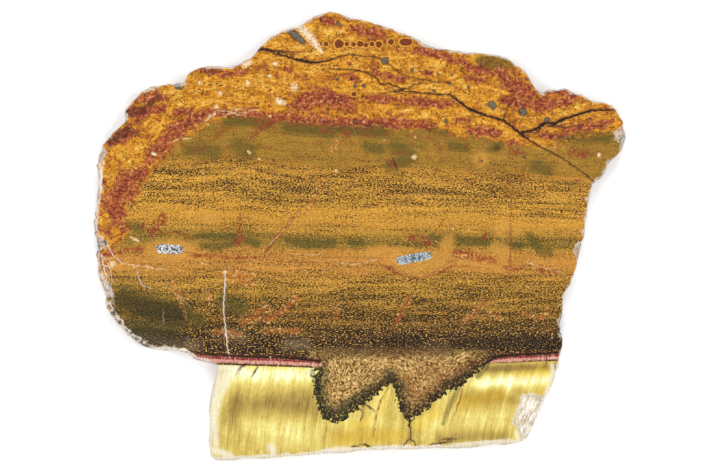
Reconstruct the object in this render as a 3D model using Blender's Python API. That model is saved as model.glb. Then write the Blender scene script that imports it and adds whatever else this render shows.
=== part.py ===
# Tiger eye slab: a sawn slice of layered, iron-rich tiger eye, polished on one
# face, with its natural broken edge all round and two small hollows lined with
# quartz crystals.
#
# Frame: metres, +Z up. The slab lies on its sawn back at z = 0 with the polished
# face up. The origin is on the back, under the middle of the outline. +Y points
# across the layers, from the golden fibre seam to the red and yellow breccia.

import math
import random

import bmesh
import bpy
from mathutils import Vector, noise

MM = 0.001

# Driving dimensions, in millimetres
THICKNESS = 7.0          # between the sawn back and the polished face
OUTLINE_STEP = 1.25      # spacing of the points along the broken edge
RIM_DROP = 0.35          # height of the ground rim under the polished face
BACK_CHAMFER = 0.35      # worn edge round the sawn back
LUMP_LENGTH = 5.5        # size of the lumps on the broken edge
GRIT_LENGTH = 2.1        # size of the small knobs between them
LEDGE_DEPTH = 0.9        # how far the broken wall is hollowed under the face
CRUST_GAP = 0.35         # clearance between a crust of crystals and its hollow

# The outline as seen from above, anticlockwise from the highest point. Each
# stretch has the depth of its lumps, the width of the rough rim that shows
# outside the polished face, and the points that its shape needs.
OUTLINE = {
    "crest": (0.22, 0.5, (
        (-9.2, 67.5), (-11.5, 67.0), (-15.8, 65.4), (-19.1, 63.1), (-22.9, 62.1),
        (-27.8, 59.5), (-31.0, 56.7), (-32.9, 54.0), (-35.5, 52.4), (-39.4, 50.7),
        (-43.4, 50.9), (-47.5, 51.1), (-50.2, 50.4), (-52.6, 48.8))),
    "left_shoulder": (0.28, 0.7, (
        (-53.9, 46.8), (-60.1, 45.7), (-65.5, 43.9), (-69.1, 40.9), (-71.1, 37.8),
        (-71.8, 34.5), (-75.5, 30.9), (-78.5, 26.7))),
    "left_side": (0.40, 1.3, (
        (-79.6, 22.8), (-78.9, 18.9), (-79.3, 13.8), (-80.0, 9.0), (-80.2, 4.2),
        (-80.5, -0.3), (-79.6, -3.3), (-79.6, -8.1))),
    "lower_left": (0.34, 1.9, (
        (-78.6, -14.4), (-77.5, -19.5), (-75.8, -23.2), (-72.8, -27.3),
        (-69.1, -31.3), (-66.1, -33.1))),
    "under_ledge": (0.16, 1.2, (
        (-63.1, -34.2), (-57.1, -34.4), (-52.4, -35.1), (-50.2, -36.8),
        (-46.9, -38.1))),
    "fibre_start": (0.20, 0.9, (
        (-43.8, -39.0), (-43.6, -41.7), (-44.9, -46.2), (-45.8, -51.6),
        (-46.0, -58.2), (-45.9, -64.8), (-44.2, -67.2))),
    "fibre_foot": (0.16, 1.1, (
        (-40.9, -67.5), (-34.4, -67.1), (-25.3, -66.8), (-16.9, -66.1),
        (-8.5, -65.3), (9.4, -64.3), (26.8, -63.9), (41.9, -62.8))),
    "fibre_end": (0.18, 0.7, (
        (46.6, -62.5), (49.6, -61.2), (51.8, -58.5), (53.2, -54.6), (55.4, -49.8),
        (57.4, -45.3), (59.2, -39.9))),
    "waist": (0.24, 0.5, (
        (59.8, -36.3), (60.8, -33.3), (61.0, -30.6), (59.7, -27.3), (60.9, -24.0),
        (61.0, -18.9), (63.1, -13.5), (65.2, -8.4), (66.8, -2.1), (67.6, 4.8),
        (68.5, 10.8), (69.8, 15.3), (72.5, 18.3), (74.2, 21.6))),
    "nose": (0.26, 0.5, (
        (77.0, 24.0), (79.6, 27.3), (80.5, 30.0), (79.6, 32.4), (78.5, 35.4),
        (77.0, 38.1), (74.2, 39.9), (69.5, 40.9), (65.8, 42.6), (63.1, 43.5),
        (61.6, 44.4), (58.6, 44.1), (55.9, 44.2), (55.0, 42.9))),
    "right_shoulder": (0.22, 0.5, (
        (53.9, 43.2), (52.0, 45.6), (49.6, 49.2), (47.2, 51.3), (43.6, 53.4),
        (38.9, 54.8), (33.4, 55.4), (27.4, 55.8), (22.6, 56.7), (18.4, 58.2),
        (13.0, 60.9), (7.6, 63.0), (2.2, 64.8), (-3.1, 66.0), (-6.8, 67.2))),
}

# Chips out of the polished face at its edge: the middle of each on the outline,
# its half length along the edge, and how far it bites into the face.
CHIPS = {
    "splintered_corner": (52.9, -55.2, 7.4, 6.9),
    "nose_tip": (79.5, 29.8, 3.2, 4.2),
    "waist_shell": (66.6, -4.2, 2.7, 2.3),
    "waist_nick": (60.9, -24.9, 1.9, 1.3),
    "knee_nick": (59.9, -30.4, 1.8, 1.2),
    "upper_left_notch": (-54.4, 46.6, 2.2, 1.6),
    "left_nick_high": (-79.4, 24.8, 2.4, 2.6),
    "left_nick_low": (-79.4, -2.2, 2.2, 2.7),
    "heel_nick": (-78.2, -16.6, 2.6, 3.3),
}

# The wall of the broken edge, ring by ring from the polished face to the back.
# Each ring has its height and its setback from the outline, as shares of the
# thickness and of the rim or chip width, on a plain edge and then in a chip.
WALL_RINGS = (
    (1.00, 1.00, 1.00, 1.00),
    (0.95, 0.30, 0.87, 0.86),
    (0.74, 0.00, 0.80, 0.48),
    (0.48, 0.06, 0.62, 0.38),
    (0.22, 0.12, 0.34, 0.06),
    (0.05, 0.16, 0.05, 0.04),
    (0.00, 0.20, 0.00, 0.08),
)

# The two hollows in the polished face: the middle, half length, half width,
# depth, and the slope of the long axis.
HOLLOWS = {
    "left": (-57.3, -3.9, 4.1, 1.40, 2.2, -0.05),
    "right": (16.1, -6.6, 5.2, 1.35, 2.2, 0.19),
}
CRYSTAL_PITCH = 0.78     # distance between neighbouring crystals of a crust
CRYSTAL_HEIGHT = 0.55    # tallest crystal point above the valleys round it
CRUST_BED = 0.30         # thickness of the bed that the crystals stand on
CRUST_REACH = 0.90       # how far up the hollow's side the crust climbs

STONE_BROWN = (0.42, 0.19, 0.035)
QUARTZ_GREY = (0.58, 0.62, 0.68)


def clear_scene():
    for item in list(bpy.data.objects):
        bpy.data.objects.remove(item, do_unlink=True)


def make_material(name, colour, roughness):
    material = bpy.data.materials.new(name)
    material.use_nodes = True
    shader = material.node_tree.nodes["Principled BSDF"]
    shader.inputs["Base Color"].default_value = (*colour, 1.0)
    shader.inputs["Roughness"].default_value = roughness
    shader.inputs["Metallic"].default_value = 0.0
    return material


def spline_point(a, b, c, d, t):
    # One point of the smooth curve that runs through b and c
    return 0.5 * (2 * b + (c - a) * t + (2 * a - 5 * b + 4 * c - d) * t ** 2
                  + (3 * b - a - 3 * c + d) * t ** 3)


def outline_samples():
    # Points along the smooth outline, each with its lump depth and rim width
    knots = []
    for lump_depth, rim_width, points in OUTLINE.values():
        for x, y in points:
            knots.append(Vector((x, y, lump_depth, rim_width)))
    fine = []
    for i in range(len(knots)):
        a, b, c, d = (knots[(i + k) % len(knots)] for k in (-1, 0, 1, 2))
        steps = max(2, round((c.xy - b.xy).length / 0.1))
        fine.extend(spline_point(a, b, c, d, k / steps) for k in range(steps))
    lengths = [(fine[(i + 1) % len(fine)].xy - p.xy).length for i, p in enumerate(fine)]
    count = round(sum(lengths) / OUTLINE_STEP)
    stride = sum(lengths) / count
    samples = []
    travelled = 0.0
    for point, length in zip(fine, lengths):
        if travelled >= stride * len(samples):
            samples.append(point)
        travelled += length
    return samples[:count]


def inward_directions(samples, reach=3):
    # Level directions into the stone, evened out over the neighbouring points
    directions = []
    count = len(samples)
    for i in range(count):
        along = samples[(i + reach) % count].xy - samples[(i - reach) % count].xy
        directions.append(Vector((-along.y, along.x, 0.0)).normalized())
    return directions


def chip_at(x, y):
    # Bite and strength of the chip at a point of the outline
    bite = 0.0
    strength = 0.0
    for chip_x, chip_y, half_length, chip_bite in CHIPS.values():
        share = math.hypot(x - chip_x, y - chip_y) / half_length
        if share < 1.0:
            weight = min(1.0, 1.6 * math.sqrt(1.0 - share ** 2))
            if weight * chip_bite > bite:
                bite = weight * chip_bite
                strength = weight
    return bite, strength


def lump(position, depth):
    # Swell of the broken surface; the lumps are drawn out through the thickness
    p = Vector((position.x, position.y, position.z * 0.55))
    swell = noise.noise(p / LUMP_LENGTH) + 0.6 * noise.noise(p / GRIT_LENGTH)
    return 2.2 * depth * swell


def ledge(position, level):
    # Hollows and ledges of the break, deepest at mid height and never outside it
    p = Vector((position.x, position.y, position.z * 0.9)) / LUMP_LENGTH
    middle = 1.0 - (2.0 * level / THICKNESS - 1.0) ** 2
    return LEDGE_DEPTH * middle * max(0.0, 0.25 + 1.6 * noise.noise(p + Vector((7.0, 3.0, 1.0))))


def wall_ring(samples, directions, ring):
    # The corners of one ring of the wall
    height, setback, chip_height, chip_setback = ring
    on_face = height in (0.0, 1.0)
    corners = []
    for sample, inward in zip(samples, directions):
        x, y, lump_depth, rim_width = sample
        bite, strength = chip_at(x, y)
        level = THICKNESS * (height + (chip_height - height) * strength)
        width = setback * rim_width * (1.0 - strength)
        width += chip_setback * max(bite, rim_width) * strength
        if level < RIM_DROP:
            width += BACK_CHAMFER * (1.0 - level / RIM_DROP)
        corner = Vector((x, y, level)) + inward * width
        corner -= inward * lump(corner, lump_depth * (0.6 if on_face else 1.0))
        corner += inward * ledge(corner, level) * (1.0 - strength)
        corners.append(corner)
    return corners


def make_slab_body(material):
    samples = outline_samples()
    directions = inward_directions(samples)
    rings = [wall_ring(samples, directions, ring) for ring in WALL_RINGS]
    every = [corner for ring in rings for corner in ring]
    middle_x = 0.5 * (min(c.x for c in every) + max(c.x for c in every))
    middle_y = 0.5 * (min(c.y for c in every) + max(c.y for c in every))
    middle = Vector((middle_x, middle_y, 0.0))

    mesh_builder = bmesh.new()
    loops = []
    for ring in rings:
        loops.append([mesh_builder.verts.new((corner - middle) * MM) for corner in ring])
    count = len(samples)
    for upper, lower in zip(loops, loops[1:]):
        for i in range(count):
            k = (i + 1) % count
            mesh_builder.faces.new((upper[i], lower[i], lower[k], upper[k]))
    mesh_builder.faces.new(loops[0])
    mesh_builder.faces.new(list(reversed(loops[-1])))

    mesh = bpy.data.meshes.new("slab")
    mesh_builder.to_mesh(mesh)
    mesh_builder.free()
    mesh.materials.append(material)
    slab = bpy.data.objects.new("slab", mesh)
    bpy.context.scene.collection.objects.link(slab)
    return slab


def make_hollow_cutter(name, hollow):
    # A lumpy bowl whose middle lies on the polished face
    x, y, half_length, half_width, depth, slope = hollow
    cutter_builder = bmesh.new()
    bmesh.ops.create_icosphere(cutter_builder, subdivisions=3, radius=1.0)
    for corner in cutter_builder.verts:
        direction = corner.co.copy()
        swell = 1.0 + 0.10 * noise.noise(direction * 2.1 + Vector((x, y, 0.0)))
        local = Vector((direction.x * half_length, direction.y * half_width, direction.z * depth))
        local *= swell
        corner.co = Vector((x + local.x, y + local.y + slope * local.x, THICKNESS + local.z)) * MM
    mesh = bpy.data.meshes.new(name)
    cutter_builder.to_mesh(mesh)
    cutter_builder.free()
    cutter = bpy.data.objects.new(name, mesh)
    cutter.display_type = "WIRE"
    cutter.hide_render = True
    bpy.context.scene.collection.objects.link(cutter)
    return cutter


def cut_hollow(slab, cutter):
    cut = slab.modifiers.new(cutter.name, "BOOLEAN")
    cut.operation = "DIFFERENCE"
    cut.solver = "EXACT"
    cut.object = cutter


def crust_cells(half_length, half_width):
    # Middles of six-sided cells that fit inside the hollow's mouth
    cells = []
    row_height = CRYSTAL_PITCH * math.sqrt(3.0) / 2.0
    rows = math.ceil(half_width / row_height)
    columns = math.ceil(half_length / CRYSTAL_PITCH)
    for row in range(-rows, rows + 1):
        for column in range(-columns, columns + 1):
            x = (column + 0.5 * (row % 2)) * CRYSTAL_PITCH
            y = row * row_height
            if math.hypot(x / half_length, y / half_width) < CRUST_REACH:
                cells.append((x, y))
    return cells


def make_crust(name, hollow, material, seed):
    # A bed of small pointed crystals that follows the hollow's floor
    x, y, half_length, half_width, depth, slope = hollow
    rng = random.Random(seed)
    half_length -= CRUST_GAP
    half_width -= CRUST_GAP
    floor_depth = (depth - CRUST_GAP) * 0.9
    radius = CRYSTAL_PITCH / math.sqrt(3.0)
    crust_builder = bmesh.new()
    valleys = {}

    def place(px, py, height):
        return Vector((x + px, y + py + slope * px, height)) * MM

    def drawn_in(px, py):
        share = math.hypot(px / half_length, py / half_width)
        pull = min(1.0, CRUST_REACH / max(share, 0.001))
        return px * pull, py * pull

    def floor_height(px, py):
        share = (px / half_length) ** 2 + (py / half_width) ** 2
        return THICKNESS - floor_depth * math.sqrt(max(0.0, 1.0 - share))

    def valley(px, py):
        key = (round(px / radius, 1), round(py / radius, 1))
        if key not in valleys:
            shift = 0.12 * CRYSTAL_PITCH
            vx, vy = drawn_in(px + rng.uniform(-shift, shift), py + rng.uniform(-shift, shift))
            bed = floor_height(vx, vy)
            top = crust_builder.verts.new(place(vx, vy, bed + CRUST_BED))
            base = crust_builder.verts.new(place(vx, vy, bed))
            valleys[key] = (top, base)
        return valleys[key]

    for px, py in crust_cells(half_length, half_width):
        corners = [valley(px + radius * math.sin(math.radians(60 * k)),
                          py + radius * math.cos(math.radians(60 * k))) for k in range(6)]
        corners.reverse()
        lean = 0.22 * CRYSTAL_PITCH
        middle_x = sum(corner[0].co.x for corner in corners) / 6.0
        middle_y = sum(corner[0].co.y for corner in corners) / 6.0
        bed = sum(corner[1].co.z for corner in corners) / 6.0
        height = bed / MM + CRUST_BED + CRYSTAL_HEIGHT * rng.uniform(0.45, 1.0)
        height = min(height, THICKNESS - 0.12)
        tip_x = middle_x + rng.uniform(-lean, lean) * MM
        tip_y = middle_y + rng.uniform(-lean, lean) * MM
        tip = crust_builder.verts.new((tip_x, tip_y, height * MM))
        for k in range(6):
            crust_builder.faces.new((corners[k][0], corners[(k + 1) % 6][0], tip))
        crust_builder.faces.new([corner[1] for corner in reversed(corners)])

    edge_pairs = {top: base for top, base in valleys.values()}
    rim = [edge for edge in crust_builder.edges
           if edge.is_boundary and edge.verts[0] in edge_pairs and edge.verts[1] in edge_pairs]
    for edge in rim:
        a, b = edge.link_loops[0].vert, edge.link_loops[0].link_loop_next.vert
        crust_builder.faces.new((b, a, edge_pairs[a], edge_pairs[b]))

    mesh = bpy.data.meshes.new(name)
    crust_builder.to_mesh(mesh)
    crust_builder.free()
    mesh.materials.append(material)
    crust = bpy.data.objects.new(name, mesh)
    bpy.context.scene.collection.objects.link(crust)
    return crust


def build():
    clear_scene()
    stone = make_material("polished_tiger_eye", STONE_BROWN, 0.15)
    quartz = make_material("quartz_crystals", QUARTZ_GREY, 0.2)
    slab = make_slab_body(stone)
    for number, (side, hollow) in enumerate(HOLLOWS.items()):
        cutter = make_hollow_cutter("hollow_" + side, hollow)
        cut_hollow(slab, cutter)
        make_crust("pocket_crystals_" + side, hollow, quartz, 41 + number)


build()
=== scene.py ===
import functools
import math

import bmesh
import bpy
import numpy as np
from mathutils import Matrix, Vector, geometry, kdtree, noise


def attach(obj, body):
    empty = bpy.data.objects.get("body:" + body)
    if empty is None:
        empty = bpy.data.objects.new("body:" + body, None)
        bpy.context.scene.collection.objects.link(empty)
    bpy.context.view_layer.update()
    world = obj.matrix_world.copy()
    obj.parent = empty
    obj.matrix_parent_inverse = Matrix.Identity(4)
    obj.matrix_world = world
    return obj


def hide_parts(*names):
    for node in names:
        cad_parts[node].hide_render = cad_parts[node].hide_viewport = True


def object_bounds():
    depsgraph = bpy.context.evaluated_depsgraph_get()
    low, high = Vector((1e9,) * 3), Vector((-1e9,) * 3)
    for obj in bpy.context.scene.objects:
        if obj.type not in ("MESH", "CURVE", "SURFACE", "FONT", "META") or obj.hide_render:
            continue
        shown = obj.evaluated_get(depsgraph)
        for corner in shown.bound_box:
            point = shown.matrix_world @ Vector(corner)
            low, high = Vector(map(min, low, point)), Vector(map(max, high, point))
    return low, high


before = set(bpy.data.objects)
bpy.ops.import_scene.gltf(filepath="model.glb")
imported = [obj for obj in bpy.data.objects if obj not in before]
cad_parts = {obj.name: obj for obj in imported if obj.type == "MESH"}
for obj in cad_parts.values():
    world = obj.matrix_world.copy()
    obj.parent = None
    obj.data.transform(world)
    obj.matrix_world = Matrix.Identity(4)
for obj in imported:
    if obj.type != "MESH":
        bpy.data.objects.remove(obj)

# A sawn slice of layered tiger eye, lying on its back with the polished face up.
# Places on the face are read as pixels of the photograph, x to the right and
# y down, and toPhoto() finds them from millimetres on the slab.

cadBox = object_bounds()
mm = 0.001

photoView = {
    "width": 708,            # pixels
    "height": 472,
    "mmPerPixel": 0.3,       # on the polished face
    "slabMiddle": (360.5, 236.0),
    "lens": 100.0,           # mm, long enough to look flat
    "sensor": 36.0,
}


def toPhoto(x, y):
    midX, midY = photoView["slabMiddle"]
    scale = photoView["mmPerPixel"]
    return x / scale + midX, midY - y / scale


def linear(hexColour, alpha=1.0):
    # sRGB hex to linear
    channels = []
    for i in (1, 3, 5):
        value = int(hexColour[i:i + 2], 16) / 255.0
        channels.append(value / 12.92 if value <= 0.04045 else ((value + 0.055) / 1.055) ** 2.4)
    return (*channels, alpha)


def addNode(tree, kind, *values, named=None, stops=None, **settings):
    # one node: its settings, a ramp's stops, its values or links in socket order, then those by name
    node = tree.nodes.new(kind if "Node" in kind else "ShaderNode" + kind)
    for name, value in settings.items():
        setattr(node, name, value)
    if stops:
        elements = node.color_ramp.elements
        for place, colour in stops[1:-1]:
            elements.new(place)
        for element, (place, colour) in zip(elements, stops):
            element.position = place
            element.color = linear(colour) if isinstance(colour, str) else (colour,) * 3 + (1.0,)
    given = list(zip([socket for socket in node.inputs if socket.enabled], values))
    given += [(node.inputs[name], value) for name, value in (named or {}).items()]
    for socket, value in given:
        if isinstance(value, str):
            socket.default_value = linear(value)
        elif isinstance(value, (bpy.types.NodeSocket, list)):
            for source in value if isinstance(value, list) else [value]:
                tree.links.new(source, socket)
        else:
            socket.default_value = value
    results = [socket for socket in node.outputs if socket.enabled]
    return results[0] if results else node


times = {"operation": "MULTIPLY"}
plus = {"operation": "ADD"}
timesPlus = {"operation": "MULTIPLY_ADD"}
absolute = {"operation": "ABSOLUTE"}
soft = {"interpolation_type": "SMOOTHSTEP"}


# The slab's fine mesh

slabMesh = {
    "faceSpacing": 0.50,     # mm between points of the polished face
    "backSpacing": 2.2,
    "wallCuts": 2,           # each wall facet of the solid is cut in three
    "wallRough": 0.17,       # mm, broken surface under the rim
    "mouthBlunt": 3.4,       # how square the hollows' ends are, 2 for an oval
    "mouthRagged": 0.16,     # of a hollow's half width
    "mouthDepth": 1.6,       # mm, below which a hollow keeps its oval
    "seed": 7,
}


def mergedSolid(node):
    # the solid with its loose corners joined
    builder = bmesh.new()
    builder.from_mesh(node.data)
    bmesh.ops.remove_doubles(builder, verts=builder.verts, dist=1e-6)
    return builder


def boundaryLoops(builder):
    # closed chains of open edges, as lists of corner numbers
    builder.verts.index_update()
    following = {}
    for edge in builder.edges:
        if len(edge.link_loops) == 1:
            loop = edge.link_loops[0]
            following[loop.link_loop_next.vert.index] = loop.vert.index
    chains = []
    while following:
        start, current = following.popitem()
        chain = [start]
        while current != start:
            chain.append(current)
            current = following.pop(current)
        chains.append(chain)
    return chains


def insidePolygon(points, polygon):
    inside = np.zeros(len(points), bool)
    x, y = points[:, 0], points[:, 1]
    for (x0, y0), (x1, y1) in zip(polygon, np.roll(polygon, -1, axis=0)):
        if y0 == y1:
            continue
        crosses = ((y0 > y) != (y1 > y)) & (x < (x1 - x0) * (y - y0) / (y1 - y0) + x0)
        inside ^= crosses
    return inside


def fillFlat(outer, holes, spacing, rng):
    # triangles over a flat face with evenly scattered points between its loops
    loops = [outer] + holes
    low, high = outer.min(axis=0), outer.max(axis=0)
    rowStep = spacing * math.sqrt(3) / 2
    lattice = []
    for row, y in enumerate(np.arange(low[1], high[1], rowStep)):
        x = np.arange(low[0] + (row % 2) * spacing / 2, high[0], spacing)
        lattice.append(np.stack([x, np.full(len(x), y)], axis=1))
    lattice = np.concatenate(lattice)
    lattice += rng.uniform(-0.16, 0.16, lattice.shape) * spacing
    keep = insidePolygon(lattice, outer)
    for hole in holes:
        keep &= ~insidePolygon(lattice, hole)
    lattice = lattice[keep]
    rim = np.concatenate(loops)
    tree = kdtree.KDTree(len(rim))
    for i, point in enumerate(rim):
        tree.insert((point[0], point[1], 0), i)
    tree.balance()
    apart = [tree.find((p[0], p[1], 0))[2] > 0.55 * spacing for p in lattice]
    lattice = lattice[np.array(apart)]
    edges = []
    offset = 0
    for loop in loops:
        count = len(loop)
        edges.extend((offset + i, offset + (i + 1) % count) for i in range(count))
        offset += count
    points = np.concatenate([rim, lattice])
    result = geometry.delaunay_2d_cdt([Vector(p) for p in points], edges, [], 1, 1e-7)
    if len(result[0]) != len(points):
        raise RuntimeError("the flat fill moved its points")
    triangles = np.array(result[2])
    middles = points[triangles].mean(axis=1)
    for hole in holes:
        triangles = triangles[~insidePolygon(middles, hole)]
        middles = points[triangles].mean(axis=1)
    return lattice, triangles


def roughenWall(builder, top):
    # a finer break on the wall: rounded facets, then lumps, grit and pits
    size = slabMesh
    builder.normal_update()
    inner = [v for v in builder.verts if not v.is_boundary]
    for _ in range(2):
        bmesh.ops.smooth_vert(builder, verts=inner, factor=0.5,
                              use_axis_x=True, use_axis_y=True, use_axis_z=True)
    builder.normal_update()
    for vert in builder.verts:
        p = vert.co / mm
        level = p.z / top
        ends = min(1.0, (1.0 - level) * 9.0, level * 9.0)
        knobs = noise.noise(p * 0.85) + 0.7 * noise.noise(p * 1.9) + 0.5 * noise.noise(p * 3.6)
        push = size["wallRough"] * (knobs - 0.35)
        normal = vert.normal.copy()
        if vert.is_boundary:
            normal.z = 0.0
            if normal.length < 1e-6:
                continue
            normal.normalize()
            push = 0.5 * size["wallRough"] * (min(0.0, knobs) - 0.1)
            vert.co += normal * push * mm
        else:
            vert.co += normal * push * (0.35 + 0.65 * ends) * mm
            vert.co.z = min(max(vert.co.z, 0.02 * mm), (top - 0.03) * mm)


def breakMouths(points, rims, top):
    # the hollows' oval mouths made blunt bands with broken lips, fading down their sides
    size = slabMesh
    for rim in rims:
        centre = points[rim, :2].mean(axis=0)
        axes = np.linalg.svd(points[rim, :2] - centre)[2]
        local = (points[:, :2] - centre) @ axes.T
        half = np.abs(local[rim]).max(axis=0)
        away = np.hypot(*(local / half).T)
        near = (away < 1.15) & (away > 0.02) & (points[:, 2] > 0.3)
        across, up = (local[near] / half).T / away[near]
        blunt = (np.abs(across) ** size["mouthBlunt"]
                 + np.abs(up) ** size["mouthBlunt"]) ** (-1 / size["mouthBlunt"])
        torn = [noise.noise(Vector((a * 3.1, b * 2.3, half[0])))
                + 0.6 * noise.noise(Vector((a * 7, b * 6, 2))) for a, b in zip(across, up)]
        share = np.clip(1 - (top - points[near, 2]) / size["mouthDepth"], 0, 1)
        local[near] *= (1 + share * (blunt * (1 + size["mouthRagged"] * np.array(torn)) - 1))[:, None]
        points[near, :2] = centre + local[near] @ axes


def makeSlabMesh():
    size = slabMesh
    rng = np.random.default_rng(size["seed"])
    builder = mergedSolid(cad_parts["slab"])
    top = max(v.co.z for v in builder.verts) / mm
    flat = [f for f in builder.faces
            if all(v.co.z > (top - 1e-3) * mm for v in f.verts)
            or all(v.co.z < 1e-3 * mm for v in f.verts)]
    bmesh.ops.delete(builder, geom=flat, context="FACES")
    bmesh.ops.subdivide_edges(builder, edges=builder.edges[:], cuts=size["wallCuts"],
                              use_grid_fill=True)
    bmesh.ops.triangulate(builder, faces=builder.faces[:])
    roughenWall(builder, top)
    chains = boundaryLoops(builder)
    wallPoints = np.array([v.co for v in builder.verts]) / mm
    wallFaces = np.array([[v.index for v in f.verts] for f in builder.faces])
    builder.free()

    topChains = sorted((c for c in chains if wallPoints[c[0], 2] > top / 2), key=len)
    backChain = next(c for c in chains if wallPoints[c[0], 2] < top / 2)
    outerTop = topChains.pop()
    breakMouths(wallPoints, topChains, top)
    points = [wallPoints]
    faces = [wallFaces]
    regions = [np.zeros(len(wallFaces), int)]
    for outer, holes, level, spacing, region in (
            (outerTop, topChains, top, size["faceSpacing"], 1),
            (backChain, [], 0.0, size["backSpacing"], 2)):
        inner, triangles = fillFlat(wallPoints[outer, :2], [wallPoints[h, :2] for h in holes],
                                    spacing, rng)
        rimNumbers = np.concatenate([np.array(c) for c in [outer] + holes])
        start = sum(len(p) for p in points)
        numbers = np.concatenate([rimNumbers, np.arange(start, start + len(inner))])
        corners = numbers[triangles]
        flatPoints = np.concatenate([wallPoints[rimNumbers, :2], inner])[triangles]
        a, b, c = flatPoints[:, 0], flatPoints[:, 1], flatPoints[:, 2]
        turn = (b[:, 0] - a[:, 0]) * (c[:, 1] - a[:, 1]) - (b[:, 1] - a[:, 1]) * (c[:, 0] - a[:, 0])
        wrong = turn < 0 if region == 1 else turn > 0
        corners[wrong] = corners[wrong][:, ::-1]
        points.append(np.column_stack([inner, np.full(len(inner), level)]))
        faces.append(corners)
        regions.append(np.full(len(corners), region))
    points = np.concatenate(points)
    faces = np.concatenate(faces)
    regions = np.concatenate(regions)
    mesh = bpy.data.meshes.new("tigerEyeSlab")
    mesh.from_pydata((points * mm).tolist(), [], faces.tolist())
    mesh.polygons.foreach_set("material_index", regions)
    mesh.polygons.foreach_set("use_smooth", regions == 0)
    mesh.update()
    print("slab mesh:", len(points), "points", len(faces), "triangles")
    mouths = {"left": wallPoints[topChains[0]], "right": wallPoints[topChains[1]]}
    if mouths["left"][:, 0].mean() > mouths["right"][:, 0].mean():
        mouths = {"left": mouths["right"], "right": mouths["left"]}
    return mesh, points, wallPoints[outerTop], mouths


slabData, slabPoints, slabOutline, pitMouths = makeSlabMesh()
slab = bpy.data.objects.new("tigerEyeSlab", slabData)
bpy.context.scene.collection.objects.link(slab)


# Marks on the face, as strokes of pixels (x, y, half width)

seamTop = [  # where the brown stone ends and the golden fibre seam begins
    (60, 420), (160, 372), (186, 353), (192, 357), (200, 363.5), (230, 365), (260, 366), (290, 367),
    (312, 368),
    (317, 371), (313, 377), (315, 386), (313, 394), (316, 401), (319, 408), (321, 415),
    (329, 421), (338, 422), (346, 419), (352, 413), (360, 407), (368, 402), (374, 396),
    (381, 390), (387, 386), (391, 384), (394, 388), (396, 397), (399, 407), (404, 416),
    (409, 424), (413, 418), (420, 413), (430, 407), (437, 400), (443, 395), (452, 390),
    (461, 386), (468, 381), (474, 375), (481, 369), (488, 363.5), (500, 363), (515, 362.5),
    (535, 361.5), (556, 361), (575, 361)]

brecciaEdge = [  # inner side of the red border round the layered stone
    (96, 440), (128, 352), (116, 326), (109, 304), (106, 286), (110, 270), (114, 256), (120, 244),
    (128, 234), (124, 222), (128, 208), (138, 196), (146, 184), (152, 174),
    (160, 163), (172, 150), (186, 138), (204, 127), (222, 119), (250, 118), (275, 121),
    (300, 123), (330, 126), (360, 129), (392, 130), (420, 131), (448, 133), (470, 137),
    (500, 142), (520, 146), (545, 148), (566, 143), (590, 138), (612, 135), (650, 132)]

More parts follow.
